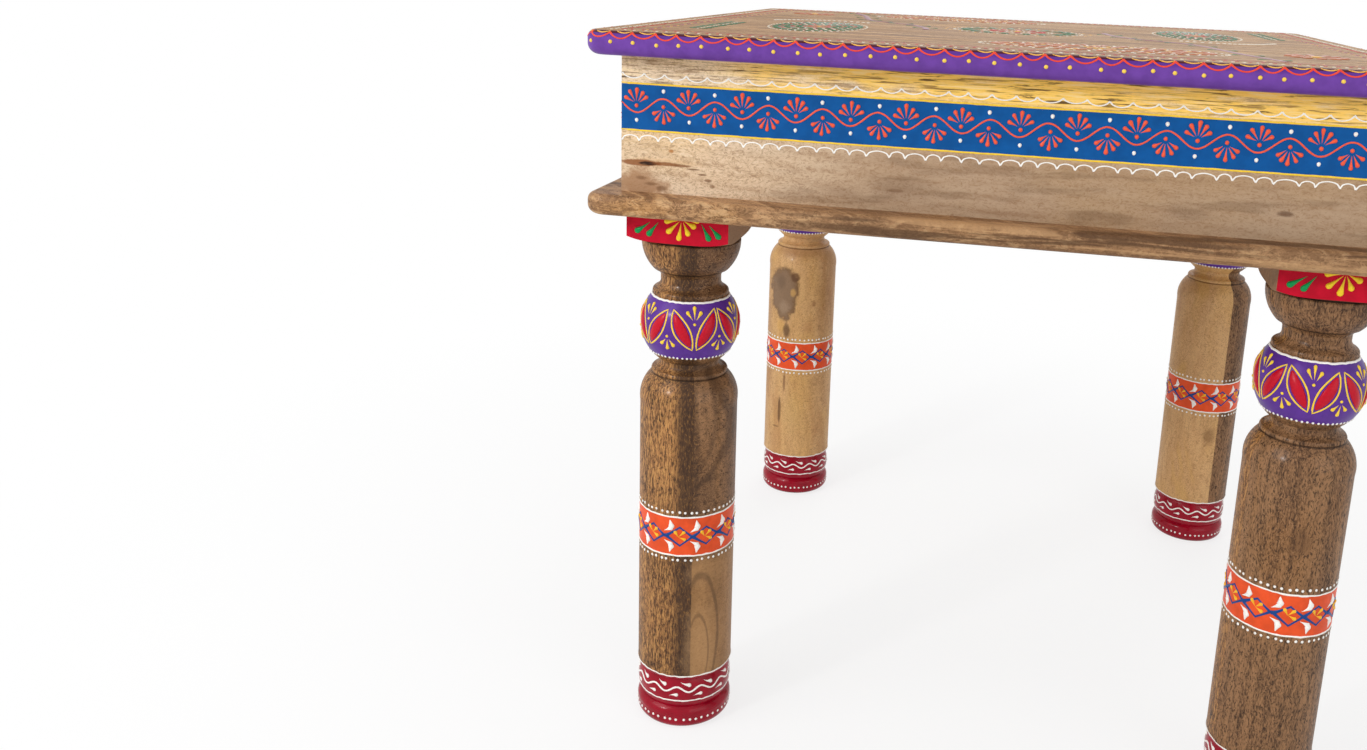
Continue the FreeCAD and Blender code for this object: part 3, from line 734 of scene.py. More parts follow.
def round_rim(tree, across, up, radius):
    """Rays towards the rim of the top. Across runs on round the corners, which have the given radius."""
    straight = RIM_FACE - radius
    flat = tree.math("MINIMUM", tree.math("MAXIMUM", across, straight * -1.0), straight)
    angle = (across - flat) / radius
    sine = tree.math("SINE", angle)
    cosine = tree.math("COSINE", angle)
    away = radius + REACH
    origin = tree.join(flat + sine * away, straight * -1.0 - cosine * away, up)
    return origin, tree.join(sine * -1.0, cosine, 0.0)


def round_leg(tree, across, up, radius):
    """Rays towards the front left leg's axis. Across is measured round the leg at the given radius."""
    angle = across / radius
    out = tree.join(tree.math("SINE", angle), tree.math("COSINE", angle) * -1.0, 0.0)
    centre = tree.join(-LEG_AXIS, -LEG_AXIS, up)
    return tree.vector("ADD", centre, tree.scaled(out, REACH)), tree.scaled(out, -1.0)


def from_above(tree, across, up, radius):
    """Rays down on the table's top."""
    return tree.join(across, up, TOP + REACH), tree.join(0.0, 0.0, -1.0)


def lay_on(tree, geometry, socket, rays, across, up, out):
    """Moves flat paint to the surface that its rays meet, then round to its side of the table."""
    carrier = tree.node("GeometryNodeObjectInfo", None, {"Object": socket.other("Carrier")})
    origin, direction = rays(tree, across, up, socket.other("Round radius"))
    inputs = {"Target Geometry": carrier.other("Geometry"), "Source Position": origin,
              "Ray Direction": direction, "Ray Length": REACH * 2}
    hit = tree.node("GeometryNodeRaycast", None, inputs)
    place = tree.vector("ADD", hit.other("Hit Position"), tree.scaled(hit.other("Hit Normal"), out))
    inputs = {"Vector": place, "Angle": read(tree, "side") * QUARTER}
    place = tree.node("ShaderNodeVectorRotate", {"rotation_type": "Z_AXIS"}, inputs)
    missed = tree.node("FunctionNodeBooleanMath", {"operation": "NOT"}, {0: hit})
    for kind, settings, inputs in (
        ("DeleteGeometry", {"domain": "POINT"}, {"Selection": missed}),
        ("SetPosition", None, {"Position": place}),
        ("SetShadeSmooth", None, {}),
        ("RealizeInstances", None, {}),
        ("SetMaterial", None, {"Material": socket.other("Paint")}),
    ):
        geometry = tree.node("GeometryNode" + kind, settings, {"Geometry": geometry, **inputs})
    tree.node("NodeGroupOutput", None, {"Geometry": geometry})


STROKE_SOCKETS = {
    "Geometry": "Geometry",
    "Carrier": "Object",
    "Paint": "Material",
    "Round radius": "Float",
    "Relief": "Float",
    "Pointed": "Float",
}


@cache
def drops_tree(rays):
    """Teardrops: a ball whose one half is drawn out to a thin tail, bent and turned at each point."""
    tree = Tree(bpy.data.node_groups.new("drops_" + rays.__name__, "GeometryNodeTree"))
    socket = group_input(tree)
    ball = tree.node("GeometryNodeMeshUVSphere", None, {"Segments": 8, "Rings": 8, "Radius": 1.0})
    position = tree.node("GeometryNodeInputPosition")
    ball = keep(tree, ball, "local", position)
    points = keep(tree, socket.other("Geometry"), "centre", position)
    placed = tree.node("GeometryNodeInstanceOnPoints", None, {"Points": points, "Instance": ball})
    geometry = tree.node("GeometryNodeRealizeInstances", None, {"Geometry": placed})
    side, depth, along = tree.parts(read(tree, "local", "FLOAT_VECTOR"))
    long = read(tree, "long")
    wide = read(tree, "wide")
    pointed = socket.other("Pointed")
    is_leaf = tree.math("GREATER_THAN", pointed, 0.0)
    head = tree.math("MAXIMUM", along, 0.0)
    tail = tree.math("MAXIMUM", along * -1.0, 0.0)
    head_reach = wide * 0.5 + (long - wide) * 0.5 * is_leaf
    length = long * 0.5 - head_reach + head * head_reach - tail * (long - head_reach)
    drawn_out = tree.rise(long / wide, 1.0, 1.8) * (1.0 - is_leaf)
    taper = 1.0 - tail ** 0.6 * drawn_out * 0.88
    lens = tree.math("SQRT", tree.math("MAXIMUM", 1.0 - along * along, 0.0)) ** pointed
    width = wide * 0.5 * taper * lens
    across = side * width + read(tree, "bend") * tail * tail
    turn = read(tree, "turn")
    sine = tree.math("SINE", turn)
    cosine = tree.math("COSINE", turn)
    middle_across, _, middle_up = tree.parts(read(tree, "centre", "FLOAT_VECTOR"))
    out = depth * -1.0 * width * socket.other("Relief")
    lay_on(tree, geometry, socket, rays, middle_across + across * cosine + length * sine,
           middle_up + length * cosine - across * sine, out)
    return tree.group


@cache
def lines_tree(rays):
    """Lines: round cords of paint along each path, as thick as the path says."""
    tree = Tree(bpy.data.node_groups.new("lines_" + rays.__name__, "GeometryNodeTree"))
    socket = group_input(tree)
    path = tree.node("GeometryNodeMeshToCurve", None, {"Mesh": socket.other("Geometry")})
    circle = {"Resolution": 7, "Radius": 1.0}
    ring = tree.node("GeometryNodeCurvePrimitiveCircle", {"mode": "RADIUS"}, circle)
    inputs = {"Curve": path, "Profile Curve": ring, "Fill Caps": True, "Scale": read(tree, "thick") * 0.5}
    geometry = tree.node("GeometryNodeCurveToMesh", None, inputs)
    across, depth, up = tree.parts(tree.node("GeometryNodeInputPosition"))
    lay_on(tree, geometry, socket, rays, across, up, depth * -1.0 * socket.other("Relief"))
    return tree.group


carriers = []


@cache
def carrier_of(nodes):
    """A copy of some of the frame's meshes as one, for the paint to lie on."""
    joined = bmesh.new()
    for node in nodes:
        joined.from_mesh(frame["nodes"][node].data)
    mesh = bpy.data.meshes.new("carrier_" + nodes[0])
    joined.to_mesh(mesh)
    joined.free()
    carrier = bpy.data.objects.new(mesh.name, mesh)
    bpy.context.scene.collection.objects.link(carrier)
    carriers.append(carrier)
    return carrier


@cache
def cone_paint(name):
    """Thick paint with a soft skin: a little uneven in colour and sheen."""
    material, tree = new_material("cone_paint_" + name)
    colour = CONE_PAINTS[name]
    spot = tree.spot()
    cloud = tree.noise(spot, 900.0, 2.0, 0.5)
    skin = tree.noise(spot, 2400.0, 2.0, 0.5)
    darker = linear([part * 0.9 for part in colour])
    lighter = linear([min(255, part * 1.04 + 3) for part in colour])
    body = tree.blend(cloud, darker, lighter)
    finish_material(tree, body, 0.3 + cloud * 0.15, skin, 0.25, 0.1 * MM, 0.1, 0.15)
    return material


def lay(name, strokes, colour, ground, relief=0.7, pointed=0.0):
    """Lays the drops and the lines of these strokes on the table as finished pieces."""
    rays, nodes, radius = ground
    values = {"Carrier": carrier_of(nodes), "Paint": cone_paint(colour), "Round radius": radius,
              "Relief": relief, "Pointed": pointed}
    for kind, parts, make_mesh, make_tree in (
        ("drops", strokes.drops, drop_mesh, drops_tree),
        ("lines", strokes.lines, line_mesh, lines_tree),
    ):
        if not parts:
            continue
        piece = bpy.data.objects.new(f"{name}_{kind}", make_mesh(name, strokes))
        bpy.context.scene.collection.objects.link(piece)
        modifier = piece.modifiers.new("paint", "NODES")
        modifier.node_group = make_tree(rays)
        for item in modifier.node_group.interface.items_tree:
            if item.in_out == "INPUT" and item.name in values:
                modifier[item.identifier] = values[item.name]
        made_plain(piece)
        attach(piece, BODY)


def clear_carriers():
    """Takes away the copies that the paint was laid on."""
    for carrier in carriers:
        bpy.data.objects.remove(carrier)


def made_plain(piece):
    """Turns what the modifiers make of a piece into its own mesh."""
    evaluated = piece.evaluated_get(bpy.context.evaluated_depsgraph_get())
    mesh = bpy.data.meshes.new_from_object(evaluated)
    piece.modifiers.clear()
    piece.data = mesh
    for name in [item.name for item in mesh.attributes if item.name in LAYOUT_ATTRIBUTES]:
        mesh.attributes.remove(mesh.attributes[name])


LAYOUT_ATTRIBUTES = ("turn", "long", "wide", "bend", "side", "thick", "local", "centre")
hand = random.Random(11)

# Grounds of the raised paint: the way to them, their pieces, the radius that across is measured at
APRON_GROUND = (from_front, ("apron_front",), 1.0)
RIM_GROUND = (round_rim, ("top_board_1",), RIM_CORNER)
TOP_GROUND = (from_above, TOP_BOARDS, 1.0)
HEAD_GROUND = (from_front, (*LEG_HALVES, "leg_front_right_half_a", "leg_front_right_half_b"), 1.0)
BALL_GROUND = (round_leg, LEG_HALVES, BALL_RADIUS)
BODY_GROUND = (round_leg, LEG_HALVES, BODY_RADIUS)


def wobble(amount):
    """How far the painter's hand strays, in millimetres."""
    return hand.uniform(-amount, amount) * MM


def new_strokes(count):
    """As many empty colours of raised paint."""
    return [Strokes() for _ in range(count)]


def each_side(*colours):
    """Takes the strokes round the table, side by side."""
    for side in range(SIDES):
        for strokes in colours:
            strokes.side = side
        yield side


def bow(share):
    """An arc's height along its width: 0 at both ends and 1 in the middle."""
    return 1 - (2 * share - 1) ** 2


def drawn_line(strokes, points, thick, stray, closed=False):
    """A line as thick as this many millimetres, give or take a little."""
    strokes.line(points, [thick * MM + wobble(stray) for _ in points], closed)


def fan(strokes, centre, angles, reaches, start, wide, facing=0.0, spread=0.8):
    """Teardrops that point at a centre. Angles are in degrees from straight up, clockwise."""
    for angle, reach in zip(angles, reaches):
        way = math.radians(angle + hand.uniform(-3, 3)) + facing
        inner = math.radians(angle * spread) + facing
        reach = reach * MM + wobble(0.35)
        tail = (centre[0] + math.sin(inner) * start * MM, centre[1] + math.cos(inner) * start * MM)
        head = (centre[0] + math.sin(way) * reach, centre[1] + math.cos(way) * reach)
        strokes.drop(tail, head, wide * MM + wobble(0.2), wobble(0.25))


def rosette(strokes, centre, count, reach, start, wide, shift=0.0):
    """Teardrops all round a centre."""
    angles = [360 / count * (index + shift) for index in range(count)]
    fan(strokes, centre, angles, [reach] * count, start, wide, spread=1.0)


SCALLOP_STEPS = 9


def scallops(strokes, ends, level, sag, thick, cusp_tail=0.0):
    """A row of arcs from cusp to cusp. Positive sag hangs down, negative makes arches."""
    for start, end in zip(ends, ends[1:]):
        first = level + wobble(0.3)
        drop = sag * MM + wobble(0.25)
        points = []
        thicks = []
        for index in range(SCALLOP_STEPS):
            share = index / (SCALLOP_STEPS - 1)
            across = start + (end - start) * share
            points.append((across, first - drop * bow(share) - cusp_tail * MM * (1 - bow(share)) ** 6))
            thicks.append((thick + 0.35 * (1 - bow(share)) ** 2) * MM + wobble(0.06))
        strokes.line(points, thicks)


def uneven(start, end, spacing, stray):
    """Places from start to end about one spacing apart, each a little off."""
    count = max(2, round((end - start) / spacing))
    step = (end - start) / count
    middle = [start + step * index + wobble(stray) for index in range(1, count)]
    return [start, *middle, end]


BAND_MIDDLE = (BAND_LOW + BAND_HIGH) / 2 + 1.1 * MM
BAND_REPEATS = 14
WAVE_PERIOD = APRON_FACE * 2 / BAND_REPEATS
WAVE_HEIGHT = 4.3 * MM
WAVE_STEPS = 260
EDGE_STEPS = 120
FIRST_TROUGH = -APRON_FACE + 9.4 * MM
FAN_ANGLES = (-56, -28, 0, 27, 53)
FAN_REACHES = (8.1, 9.4, 10.3, 9.3, 8.1)
CREST_REACHES = [reach * 0.96 for reach in FAN_REACHES]
LACE_END = APRON_FACE - 0.4 * MM
UPPER_LACE = 425.4 * MM
LOWER_LACE = 388.9 * MM


def front_places(steps):
    """Even places along the whole front."""
    return [-APRON_FACE + 2 * APRON_FACE * index / steps for index in range(steps + 1)]


def paint_band():
    """A flowering vine on the blue band between yellow edges, and white lace above and below it."""
    vine, edges, pearls, lace = new_strokes(4)
    for _ in each_side(vine, edges, pearls, lace):
        wave = []
        for across in front_places(WAVE_STEPS):
            swing = math.cos((across - FIRST_TROUGH) / WAVE_PERIOD * math.tau)
            wave.append((across, BAND_MIDDLE - WAVE_HEIGHT * swing + wobble(0.06)))
        drawn_line(vine, wave, 1.05, 0.1)
        for index in range(BAND_REPEATS):
            trough = FIRST_TROUGH + WAVE_PERIOD * index + wobble(0.7)
            crest = trough + WAVE_PERIOD / 2 + wobble(0.7)
            level = BAND_MIDDLE - 0.4 * MM + wobble(0.4)
            vine.dot(trough, level, 2.3 * MM, 2.4 * MM)
            fan(vine, (trough, level), FAN_ANGLES, FAN_REACHES, 3.0, 2.4)
            pearls.dot(trough + wobble(0.6), BAND_MIDDLE - 8.6 * MM + wobble(0.4), 2.1 * MM, 2.4 * MM)
            if crest > APRON_FACE - 5 * MM:
                continue
            vine.dot(crest, level, 2.2 * MM, 2.3 * MM)
            fan(vine, (crest, level), FAN_ANGLES, CREST_REACHES, 2.9, 2.35, math.pi)
            pearls.dot(crest + wobble(0.6), BAND_MIDDLE + 8.2 * MM + wobble(0.4), 2.2 * MM, 2.5 * MM)
        for level in (BAND_LOW - 0.3 * MM, BAND_HIGH + 0.3 * MM):
            edge = [(across, level + wobble(0.1)) for across in front_places(EDGE_STEPS)]
            drawn_line(edges, edge, 1.15, 0.12)
        upper = uneven(-LACE_END, LACE_END, 12.6 * MM, 1.2)
        scallops(lace, upper, UPPER_LACE, 2.1, 0.75, cusp_tail=-0.6)
        lower = uneven(-LACE_END, LACE_END, 10.4 * MM, 1.6)
        scallops(lace, lower, LOWER_LACE, -1.8, 0.75, cusp_tail=1.3)
    lay("band_vine", vine, "salmon", APRON_GROUND)
    lay("band_edges", edges, "yellow", APRON_GROUND, 0.5)
    lay("band_pearls", pearls, "white", APRON_GROUND)
    lay("lace", lace, "white", APRON_GROUND, 0.6)


THREAD_STEPS = 6


def paint_rim():
    """Red swags round the whole rim, each with a gold pearl under it and a gold thread over it."""
    swags, pearls, threads = new_strokes(3)
    half = RIM_FACE - RIM_CORNER + RIM_CORNER * QUARTER / 2
    for _ in each_side(swags, pearls, threads):
        cusps = uneven(-half, half, 13.3 * MM, 0.9)
        scallops(swags, cusps, TOP - 0.9 * MM, 3.0, 0.9)
        for start, end in zip(cusps, cusps[1:]):
            width = end - start
            pearl = (start + width * 0.06 + wobble(1.2), TOP - 6.4 * MM + wobble(0.5))
            pearls.dot(*pearl, 2.3 * MM, 2.2 * MM)
            thread = []
            for index in range(THREAD_STEPS + 1):
                share = index / THREAD_STEPS
                across = start + width * 0.3 + width * 0.66 * share
                thread.append((across, TOP - 0.2 * MM - 0.9 * MM * bow(share)))
            threads.line(thread, 0.6 * MM)
    lay("rim_swags", swags, "swag_red", RIM_GROUND, 0.6)
    lay("rim_pearls", pearls, "pearl_gold", RIM_GROUND)
    lay("rim_threads", threads, "thread_gold", RIM_GROUND, 0.5)


FLOWER_MIDDLE = 342.3 * MM
PETAL_ANGLES = (78, 45, 9, -25, -60, -90)
PETAL_REACHES = (10.2, 12.4, 12.9, 10.4, 9.4, 10.0)
# Green drops beside the flower, from its middle: head across, head up, tail across, tail up
HEAD_LEAVES = (
    (-28.3, -9.6, -19.6, -4.0),
    (-20.8, -11.4, -14.7, -3.6),
    (17.3, -11.3, 12.2, -2.7),
    (23.3, -9.6, 17.1, -2.9),
)


def paint_heads():
    """Half a yellow flower on each face of the heads, with green leaves beside it."""
    flowers, leaves = new_strokes(2)
    for _ in each_side(flowers, leaves):
        for axis in (-LEG_AXIS, LEG_AXIS):
            middle = (axis + 3.0 * MM + wobble(0.8), FLOWER_MIDDLE + wobble(0.4))
            fan(flowers, middle, PETAL_ANGLES, PETAL_REACHES, 2.6, 3.6, math.pi)
            for head_across, head_up, tail_across, tail_up in HEAD_LEAVES:
                head = (middle[0] + head_across * MM + wobble(0.4), middle[1] + head_up * MM + wobble(0.3))
                tail = (middle[0] + tail_across * MM, middle[1] + tail_up * MM)
                leaves.drop(tail, head, 3.8 * MM, wobble(0.5))
    lay("head_flowers", flowers, "petal_yellow", HEAD_GROUND)
    lay("head_leaves", leaves, "green", HEAD_GROUND)


RING_STEPS = 72


def round_path(radius, level, stray):
    """A path right round the leg, back to its start."""
    ring = [(math.tau / RING_STEPS * index * radius, level + wobble(stray)) for index in range(RING_STEPS)]
    return [*ring, (math.tau * radius, ring[0][1])]


def places_round(count, radius, level, stray):
    """Even places right round the leg, each a little off."""
    for index in range(count):
        across = math.tau / count * index * radius
        yield across + wobble(stray), level + wobble(stray / 2)


def between(first, second, share):
    """The place at this share of the way from the first place to the second."""
    return [a + (b - a) * share for a, b in zip(first, second)]


# The ball's pointed leaves stand in pairs that meet in valleys
BALL_VALLEYS = 6
FIRST_VALLEY = math.radians(20)
LEAF_FOOT = 260.9 * MM
LEAF_TIP = 284.9 * MM
LEAF_STEPS = 12
CORE_INSET = 0.14
UPPER_SPRIG = 277.1 * MM
LOWER_SPRIG = 268.9 * MM
BALL_PEARLS = 253.9 * MM
BALL_RING = 288.9 * MM


def leaf_outline(low, high, bulge):
    """A leaf shape between two tips, as a closed line."""
    across = high[0] - low[0]
    up = high[1] - low[1]
    length = math.hypot(across, up)
    side_across = up / length * bulge
    side_up = -across / length * bulge
    points = []
    for sense in (1, -1):
        for index in range(LEAF_STEPS):
            share = index / LEAF_STEPS if sense > 0 else 1 - index / LEAF_STEPS
            curve = math.sin(share * math.pi) ** 0.85 * sense
            place = (low[0] + across * share + side_across * curve, low[1] + up * share + side_up * curve)
            points.append(place)
    return points


def paint_balls():
    """Pointed leaves with red cores round the ball, sprigs between them, pearls below and a ring above."""
    veins, cores, sprigs, pearls, rings = new_strokes(5)
    spacing = math.tau / BALL_VALLEYS
    for _ in each_side(veins, cores, sprigs, pearls, rings):
        for index in range(BALL_VALLEYS):
            valley = FIRST_VALLEY + spacing * index + math.radians(hand.uniform(-2, 2))
            for sense in (-1, 1):
                low = ((valley + sense * 0.045) * BALL_RADIUS, LEAF_FOOT + wobble(0.4))
                high = ((valley + sense * (spacing / 2 - 0.05)) * BALL_RADIUS, LEAF_TIP + wobble(0.5))
                drawn_line(veins, leaf_outline(low, high, 4.6 * MM), 1.0, 0.12, closed=True)
                cores.drop(between(low, high, CORE_INSET), between(high, low, CORE_INSET), 6.5 * MM)
            top = (valley * BALL_RADIUS, UPPER_SPRIG + wobble(0.4))
            sprigs.dot(*top, 1.7 * MM)
            fan(sprigs, top, (-30, 0, 30), (8.2, 9.6, 8.0), 3.0, 2.3)
            bottom = ((valley + spacing / 2) * BALL_RADIUS, LOWER_SPRIG + wobble(0.4))
            sprigs.dot(*bottom, 1.7 * MM)
            fan(sprigs, bottom, (-36, 0, 36), (7.0, 8.6, 7.0), 2.6, 2.3, math.pi)
        for across, up in places_round(58, BALL_RADIUS, BALL_PEARLS, 0.3):
            pearls.dot(across, up, 1.6 * MM, 1.4 * MM)
        rings.line(round_path(BALL_RADIUS, BALL_RING, 0.2), 1.15 * MM)
    lay("ball_veins", veins, "yellow", BALL_GROUND, 0.6)
    lay("ball_cores", cores, "core_red", BALL_GROUND, 0.26, 0.3)
    lay("ball_sprigs", sprigs, "yellow", BALL_GROUND)
    lay("ball_pearls", pearls, "white", BALL_GROUND)
    lay("ball_rings", rings, "white", BALL_GROUND, 0.6)


DIAMONDS = 11
FIRST_CROSSING = math.radians(24)
DIAMOND_WIDTH = math.tau / DIAMONDS * BODY_RADIUS
DIAMOND_HALF = 6.1 * MM
RING_MIDDLE = (RING_LOW + RING_HIGH) / 2


def around(strokes, level, thick, stray=0.2):
    """A line right round the leg's body."""
    ring = round_path(BODY_RADIUS, level, stray)
    strokes.line(ring, [thick * MM + wobble(0.25) for _ in ring[1:]] + [thick * MM])


def paint_rings():
    """Blue diamonds round the orange ring, with gold sprigs in them, white commas and rows of dots."""
    chain, sprigs, commas, lines = new_strokes(4)
    for _ in each_side(chain, sprigs, commas, lines):
        for index in range(DIAMONDS):
            cross = FIRST_CROSSING * BODY_RADIUS + DIAMOND_WIDTH * index + wobble(0.5)
            middle = cross + DIAMOND_WIDTH / 2
            for sense in (-1, 1):
                points = [
                    (cross - 1.3 * MM, RING_MIDDLE - 0.8 * MM * sense),
                    (cross, RING_MIDDLE),
                    (middle, RING_MIDDLE + DIAMOND_HALF * sense + wobble(0.4)),
                    (cross + DIAMOND_WIDTH - 1 * MM, RING_MIDDLE),
                ]
                chain.line(points, [1.4 * MM, 2.5 * MM, 1.5 * MM, 1.9 * MM])
            core = (middle - 1.0 * MM, RING_MIDDLE - 0.4 * MM + wobble(0.3))
            fan(sprigs, core, (-30, 46, 110), (4.8, 5.6, 4.6), 0.6, 2.4)
            for sense in (-1, 1):
                head = (cross + 3.5 * MM + wobble(0.4), RING_MIDDLE + sense * 5.9 * MM)
                tail = (cross - 1.0 * MM, RING_MIDDLE + sense * 3.0 * MM)
                commas.drop(tail, head, 3.3 * MM, -0.5 * MM * sense)
                tip = (cross + 2.6 * MM + wobble(0.4), RING_MIDDLE + sense * 10.4 * MM)
                commas.drop(tip, head, 4.0 * MM)
        for level in (RING_LOW, RING_HIGH):
            around(lines, level, 1.15)
        for level in (RING_LOW - 3.0 * MM, RING_HIGH + 3.2 * MM):
            for across, up in places_round(50, BODY_RADIUS, level, 0.6):
                commas.dot(across, up, 1.75 * MM + wobble(0.15))
    lay("ring_chain", chain, "chain_blue", BODY_GROUND, 0.6)
    lay("ring_sprigs", sprigs, "sprig_gold", BODY_GROUND)
    lay("ring_commas", commas, "white", BODY_GROUND, 0.5)
    lay("ring_lines", lines, "white", BODY_GROUND, 0.5)


FOOT_LINE = 20.7 * MM
FOOT_DOTS = 7.1 * MM
SCROLL_TURNS = 12
SCROLL_WIDTH = math.tau / SCROLL_TURNS * BODY_RADIUS
SCROLL_MIDDLE = 28.9 * MM
SCROLL_STEPS = 192
# Commas over and under each crest: tail across, tail up, head across, head up, width, bend
SCROLL_COMMAS = ((2.6, 32.2, 8.6, 31.4, 2.6, -1.5), (-4.6, 25.8, 0.8, 25.4, 2.5, 1.5))


def paint_feet():
    """A white scroll between two rings, and a row of dots near the floor."""
    white = Strokes()
    for _ in each_side(white):
        around(white, FOOT_HIGH, 1.0, 0.35)
        around(white, FOOT_LINE, 1.15, 0.35)
        scroll = []
        for index in range(SCROLL_STEPS + 1):
            across = math.tau / SCROLL_STEPS * index * BODY_RADIUS
            scroll.append((across, SCROLL_MIDDLE + 1.7 * MM * math.sin(across / SCROLL_WIDTH * math.tau)))
        drawn_line(white, scroll, 1.25, 0.15)
        for index in range(SCROLL_TURNS):
            crest = SCROLL_WIDTH * (index + 0.25)
            for tail_across, tail_up, head_across, head_up, wide, bend in SCROLL_COMMAS:
                tail = (crest + tail_across * MM, tail_up * MM)
                head = (crest + head_across * MM + wobble(0.5), head_up * MM + wobble(0.4))
                white.drop(tail, head, wide * MM, bend * MM)
        for across, up in places_round(46, BODY_RADIUS, FOOT_DOTS, 0.6):
            white.dot(across, up, 1.8 * MM)
    lay("foot_white", white, "white", BODY_GROUND, 0.5)


def circle_of(count, radius, centre, start=0.0):
    """Even places on a circle."""
    places = []
    for index in range(count):
        angle = math.tau * (index + start) / count
        places.append((centre[0] + math.cos(angle) * radius * MM, centre[1] + math.sin(angle) * radius * MM))
    return places


def medallion(centre, size, red, green, white, gold):
    """A round dotted flower: rings of petals and pearls about a middle."""
    gold.dot(*centre, 4.2 * MM * size)
    for radius, count in ((6.4, 12), (18.0, 26), (33.5, 44)):
        for spot in circle_of(count, radius * size, centre):
            white.dot(*spot, 1.7 * MM)
    rosette(red, centre, 10, 14.6 * size, 8.4 * size, 3.6 * size)
    rosette(green, centre, 18, 29.0 * size, 20.4 * size, 4.4 * size, 0.5)
    for spot in circle_of(18, 23.6 * size, centre):
        red.dot(*spot, 2.1 * MM)
    green.line(circle_of(90, 31.0 * size, centre), 0.9 * MM, closed=True)
    for spot in circle_of(22, 38.0 * size, centre, 0.5):
        gold.dot(*spot, 2.2 * MM)


BED_HALF_ACROSS = 30 * MM
BED_HALF_UP = 68 * MM
# Rings of leaves in a bed: their share of its half sizes, and how many they are
BED_RINGS = ((0.46, 14), (0.70, 22), (0.93, 32))


def oval_bed(centre, leaves, red, white, gold):
    """A tall oval packed with leaves and berries."""

    def spot(angle, share):
        across = math.cos(angle) * BED_HALF_ACROSS * share
        return centre[0] + across, centre[1] + math.sin(angle) * BED_HALF_UP * share

    gold.dot(*centre, 4.0 * MM)
    rosette(red, centre, 6, 8.0, 3.0, 3.2)
    for share, count in BED_RINGS:
        for index in range(count):
            angle = math.tau * (index + share * 3) / count
            leaves.drop(spot(angle, share - 0.17), spot(angle, share), 5.0 * MM)
            white.dot(*spot(angle + math.pi / count, share - 0.03), 2.2 * MM)
            if index % 2:
                red.dot(*spot(angle + math.pi / count, share - 0.12), 3.2 * MM)
    for index in range(54):
        white.dot(*spot(math.tau * index / 54, 1.04), 1.8 * MM)


# Lines of the table's top, in millimetres across and up
STEM = (
    (-147, 199), (-140, 176), (-132, 148), (-125, 112), (-119, 80), (-110, 57), (-96, 41), (-80, 25),
    (-70, 2), (-64, -20), (-62, -42),
)
BEADS = ((-176, -6), (-160, 16), (-138, 27), (-108, 18))
MEDALLION_SIZE = 1.35
GREEN_BED = (-131 * MM, -72 * MM)
OCHRE_BED = (-160 * MM, -52 * MM)
OCHRE_FLOWER = (-174 * MM, 138 * MM)
OUTER_ROW = -223 * MM
INNER_ROW = -217.5 * MM
ARCHES = -209 * MM
ARCH_PEARLS = -206 * MM


def through(points, steps):
    """A smooth line through some points, which are in millimetres."""
    bent = []
    padded = [points[0], *points, points[-1]]
    for before, start, end, after in zip(padded, padded[1:], padded[2:], padded[3:]):
        for index in range(steps):
            share = index / steps
            parts = []
            for a, b, c, d in zip(before, start, end, after):
                parts.append(0.5 * (2 * b + (c - a) * share + (2 * a - 5 * b + 4 * c - d) * share ** 2
                                    + (3 * b - a - 3 * c + d) * share ** 3) * MM)
            bent.append(tuple(parts))
    return bent


def garland(green, white):
    """Pairs of leaves up the side, each with a pearl."""
    for index in range(14):
        leaf = (-188 * MM + wobble(0.8), (-170 + 7.4 * index) * MM)
        fan(green, leaf, (-52, 48), (6.6, 6.6), 1.0, 3.8)
        white.dot(leaf[0], leaf[1] + 1.5 * MM, 1.6 * MM)


def paint_top():
    """A medallion, beds, stems and flowers on the top, inside a border of dots and arches."""
    red, green, white, gold, border, ochre, stems = new_strokes(7)
    medallion((0.0, 0.0), MEDALLION_SIZE, red, green, white, gold)
    for side in each_side(red, green, white, gold, border, ochre, stems):
        if side % 2:
            oval_bed(OCHRE_BED, ochre, gold, white, gold)
        else:
            oval_bed(GREEN_BED, green, red, white, gold)
            garland(green, white)
            stem = through(STEM, 6)
            stems.line(stem, 5.0 * MM)
            for spot in stem[4::7]:
                fan(green, spot, (-75, 75), (9.0, 9.0), 2.4, 3.6)
            for spot in through(BEADS, 7):
                white.dot(*spot, 3.0 * MM)
            rosette(ochre, OCHRE_FLOWER, 12, 17.0, 5.0, 6.4)
            gold.dot(*OCHRE_FLOWER, 7.0 * MM)
        for across in uneven(-221 * MM, 221 * MM, 6.2 * MM, 0.5)[1:]:
            white.dot(across, OUTER_ROW + wobble(0.4), 2.0 * MM)
            if across > -212 * MM:
                red.dot(across - 3 * MM, INNER_ROW + wobble(0.5), 2.5 * MM)
        cusps = uneven(ARCHES, -ARCHES, 15 * MM, 0.8)
        scallops(border, cusps, ARCHES, -4.0, 1.0)
        for across in cusps[1:]:
            gold.dot(across, ARCH_PEARLS, 2.0 * MM)
    lay("top_red", red, "berry_red", TOP_GROUND, 0.25)
    lay("top_green", green, "leaf_green", TOP_GROUND, 0.25)
    lay("top_white", white, "aged_white", TOP_GROUND, 0.25)
    lay("top_gold", gold, "aged_gold", TOP_GROUND, 0.25)
    lay("top_border", border, "rose", TOP_GROUND, 0.3)
    lay("top_ochre", ochre, "ochre", TOP_GROUND, 0.25)
    lay("top_stems", stems, "wine", TOP_GROUND, 0.12)


# Camera, light and floor

CAMERA_PLACE = Vector((17.7, -874.4, 489.46)) * MM
CAMERA_YAW = math.radians(-10.25)
CAMERA_PITCH = math.radians(13.52)
CAMERA_ROLL = math.radians(2.41)
PHOTO_WIDTH = 1367
PHOTO_HEIGHT = 750
FOCUS_PIXELS = 1188.49
AIM_PIXEL = (814.89, 253.0)
TABLE_MIDDLE = Vector((0, 0, 0.25))

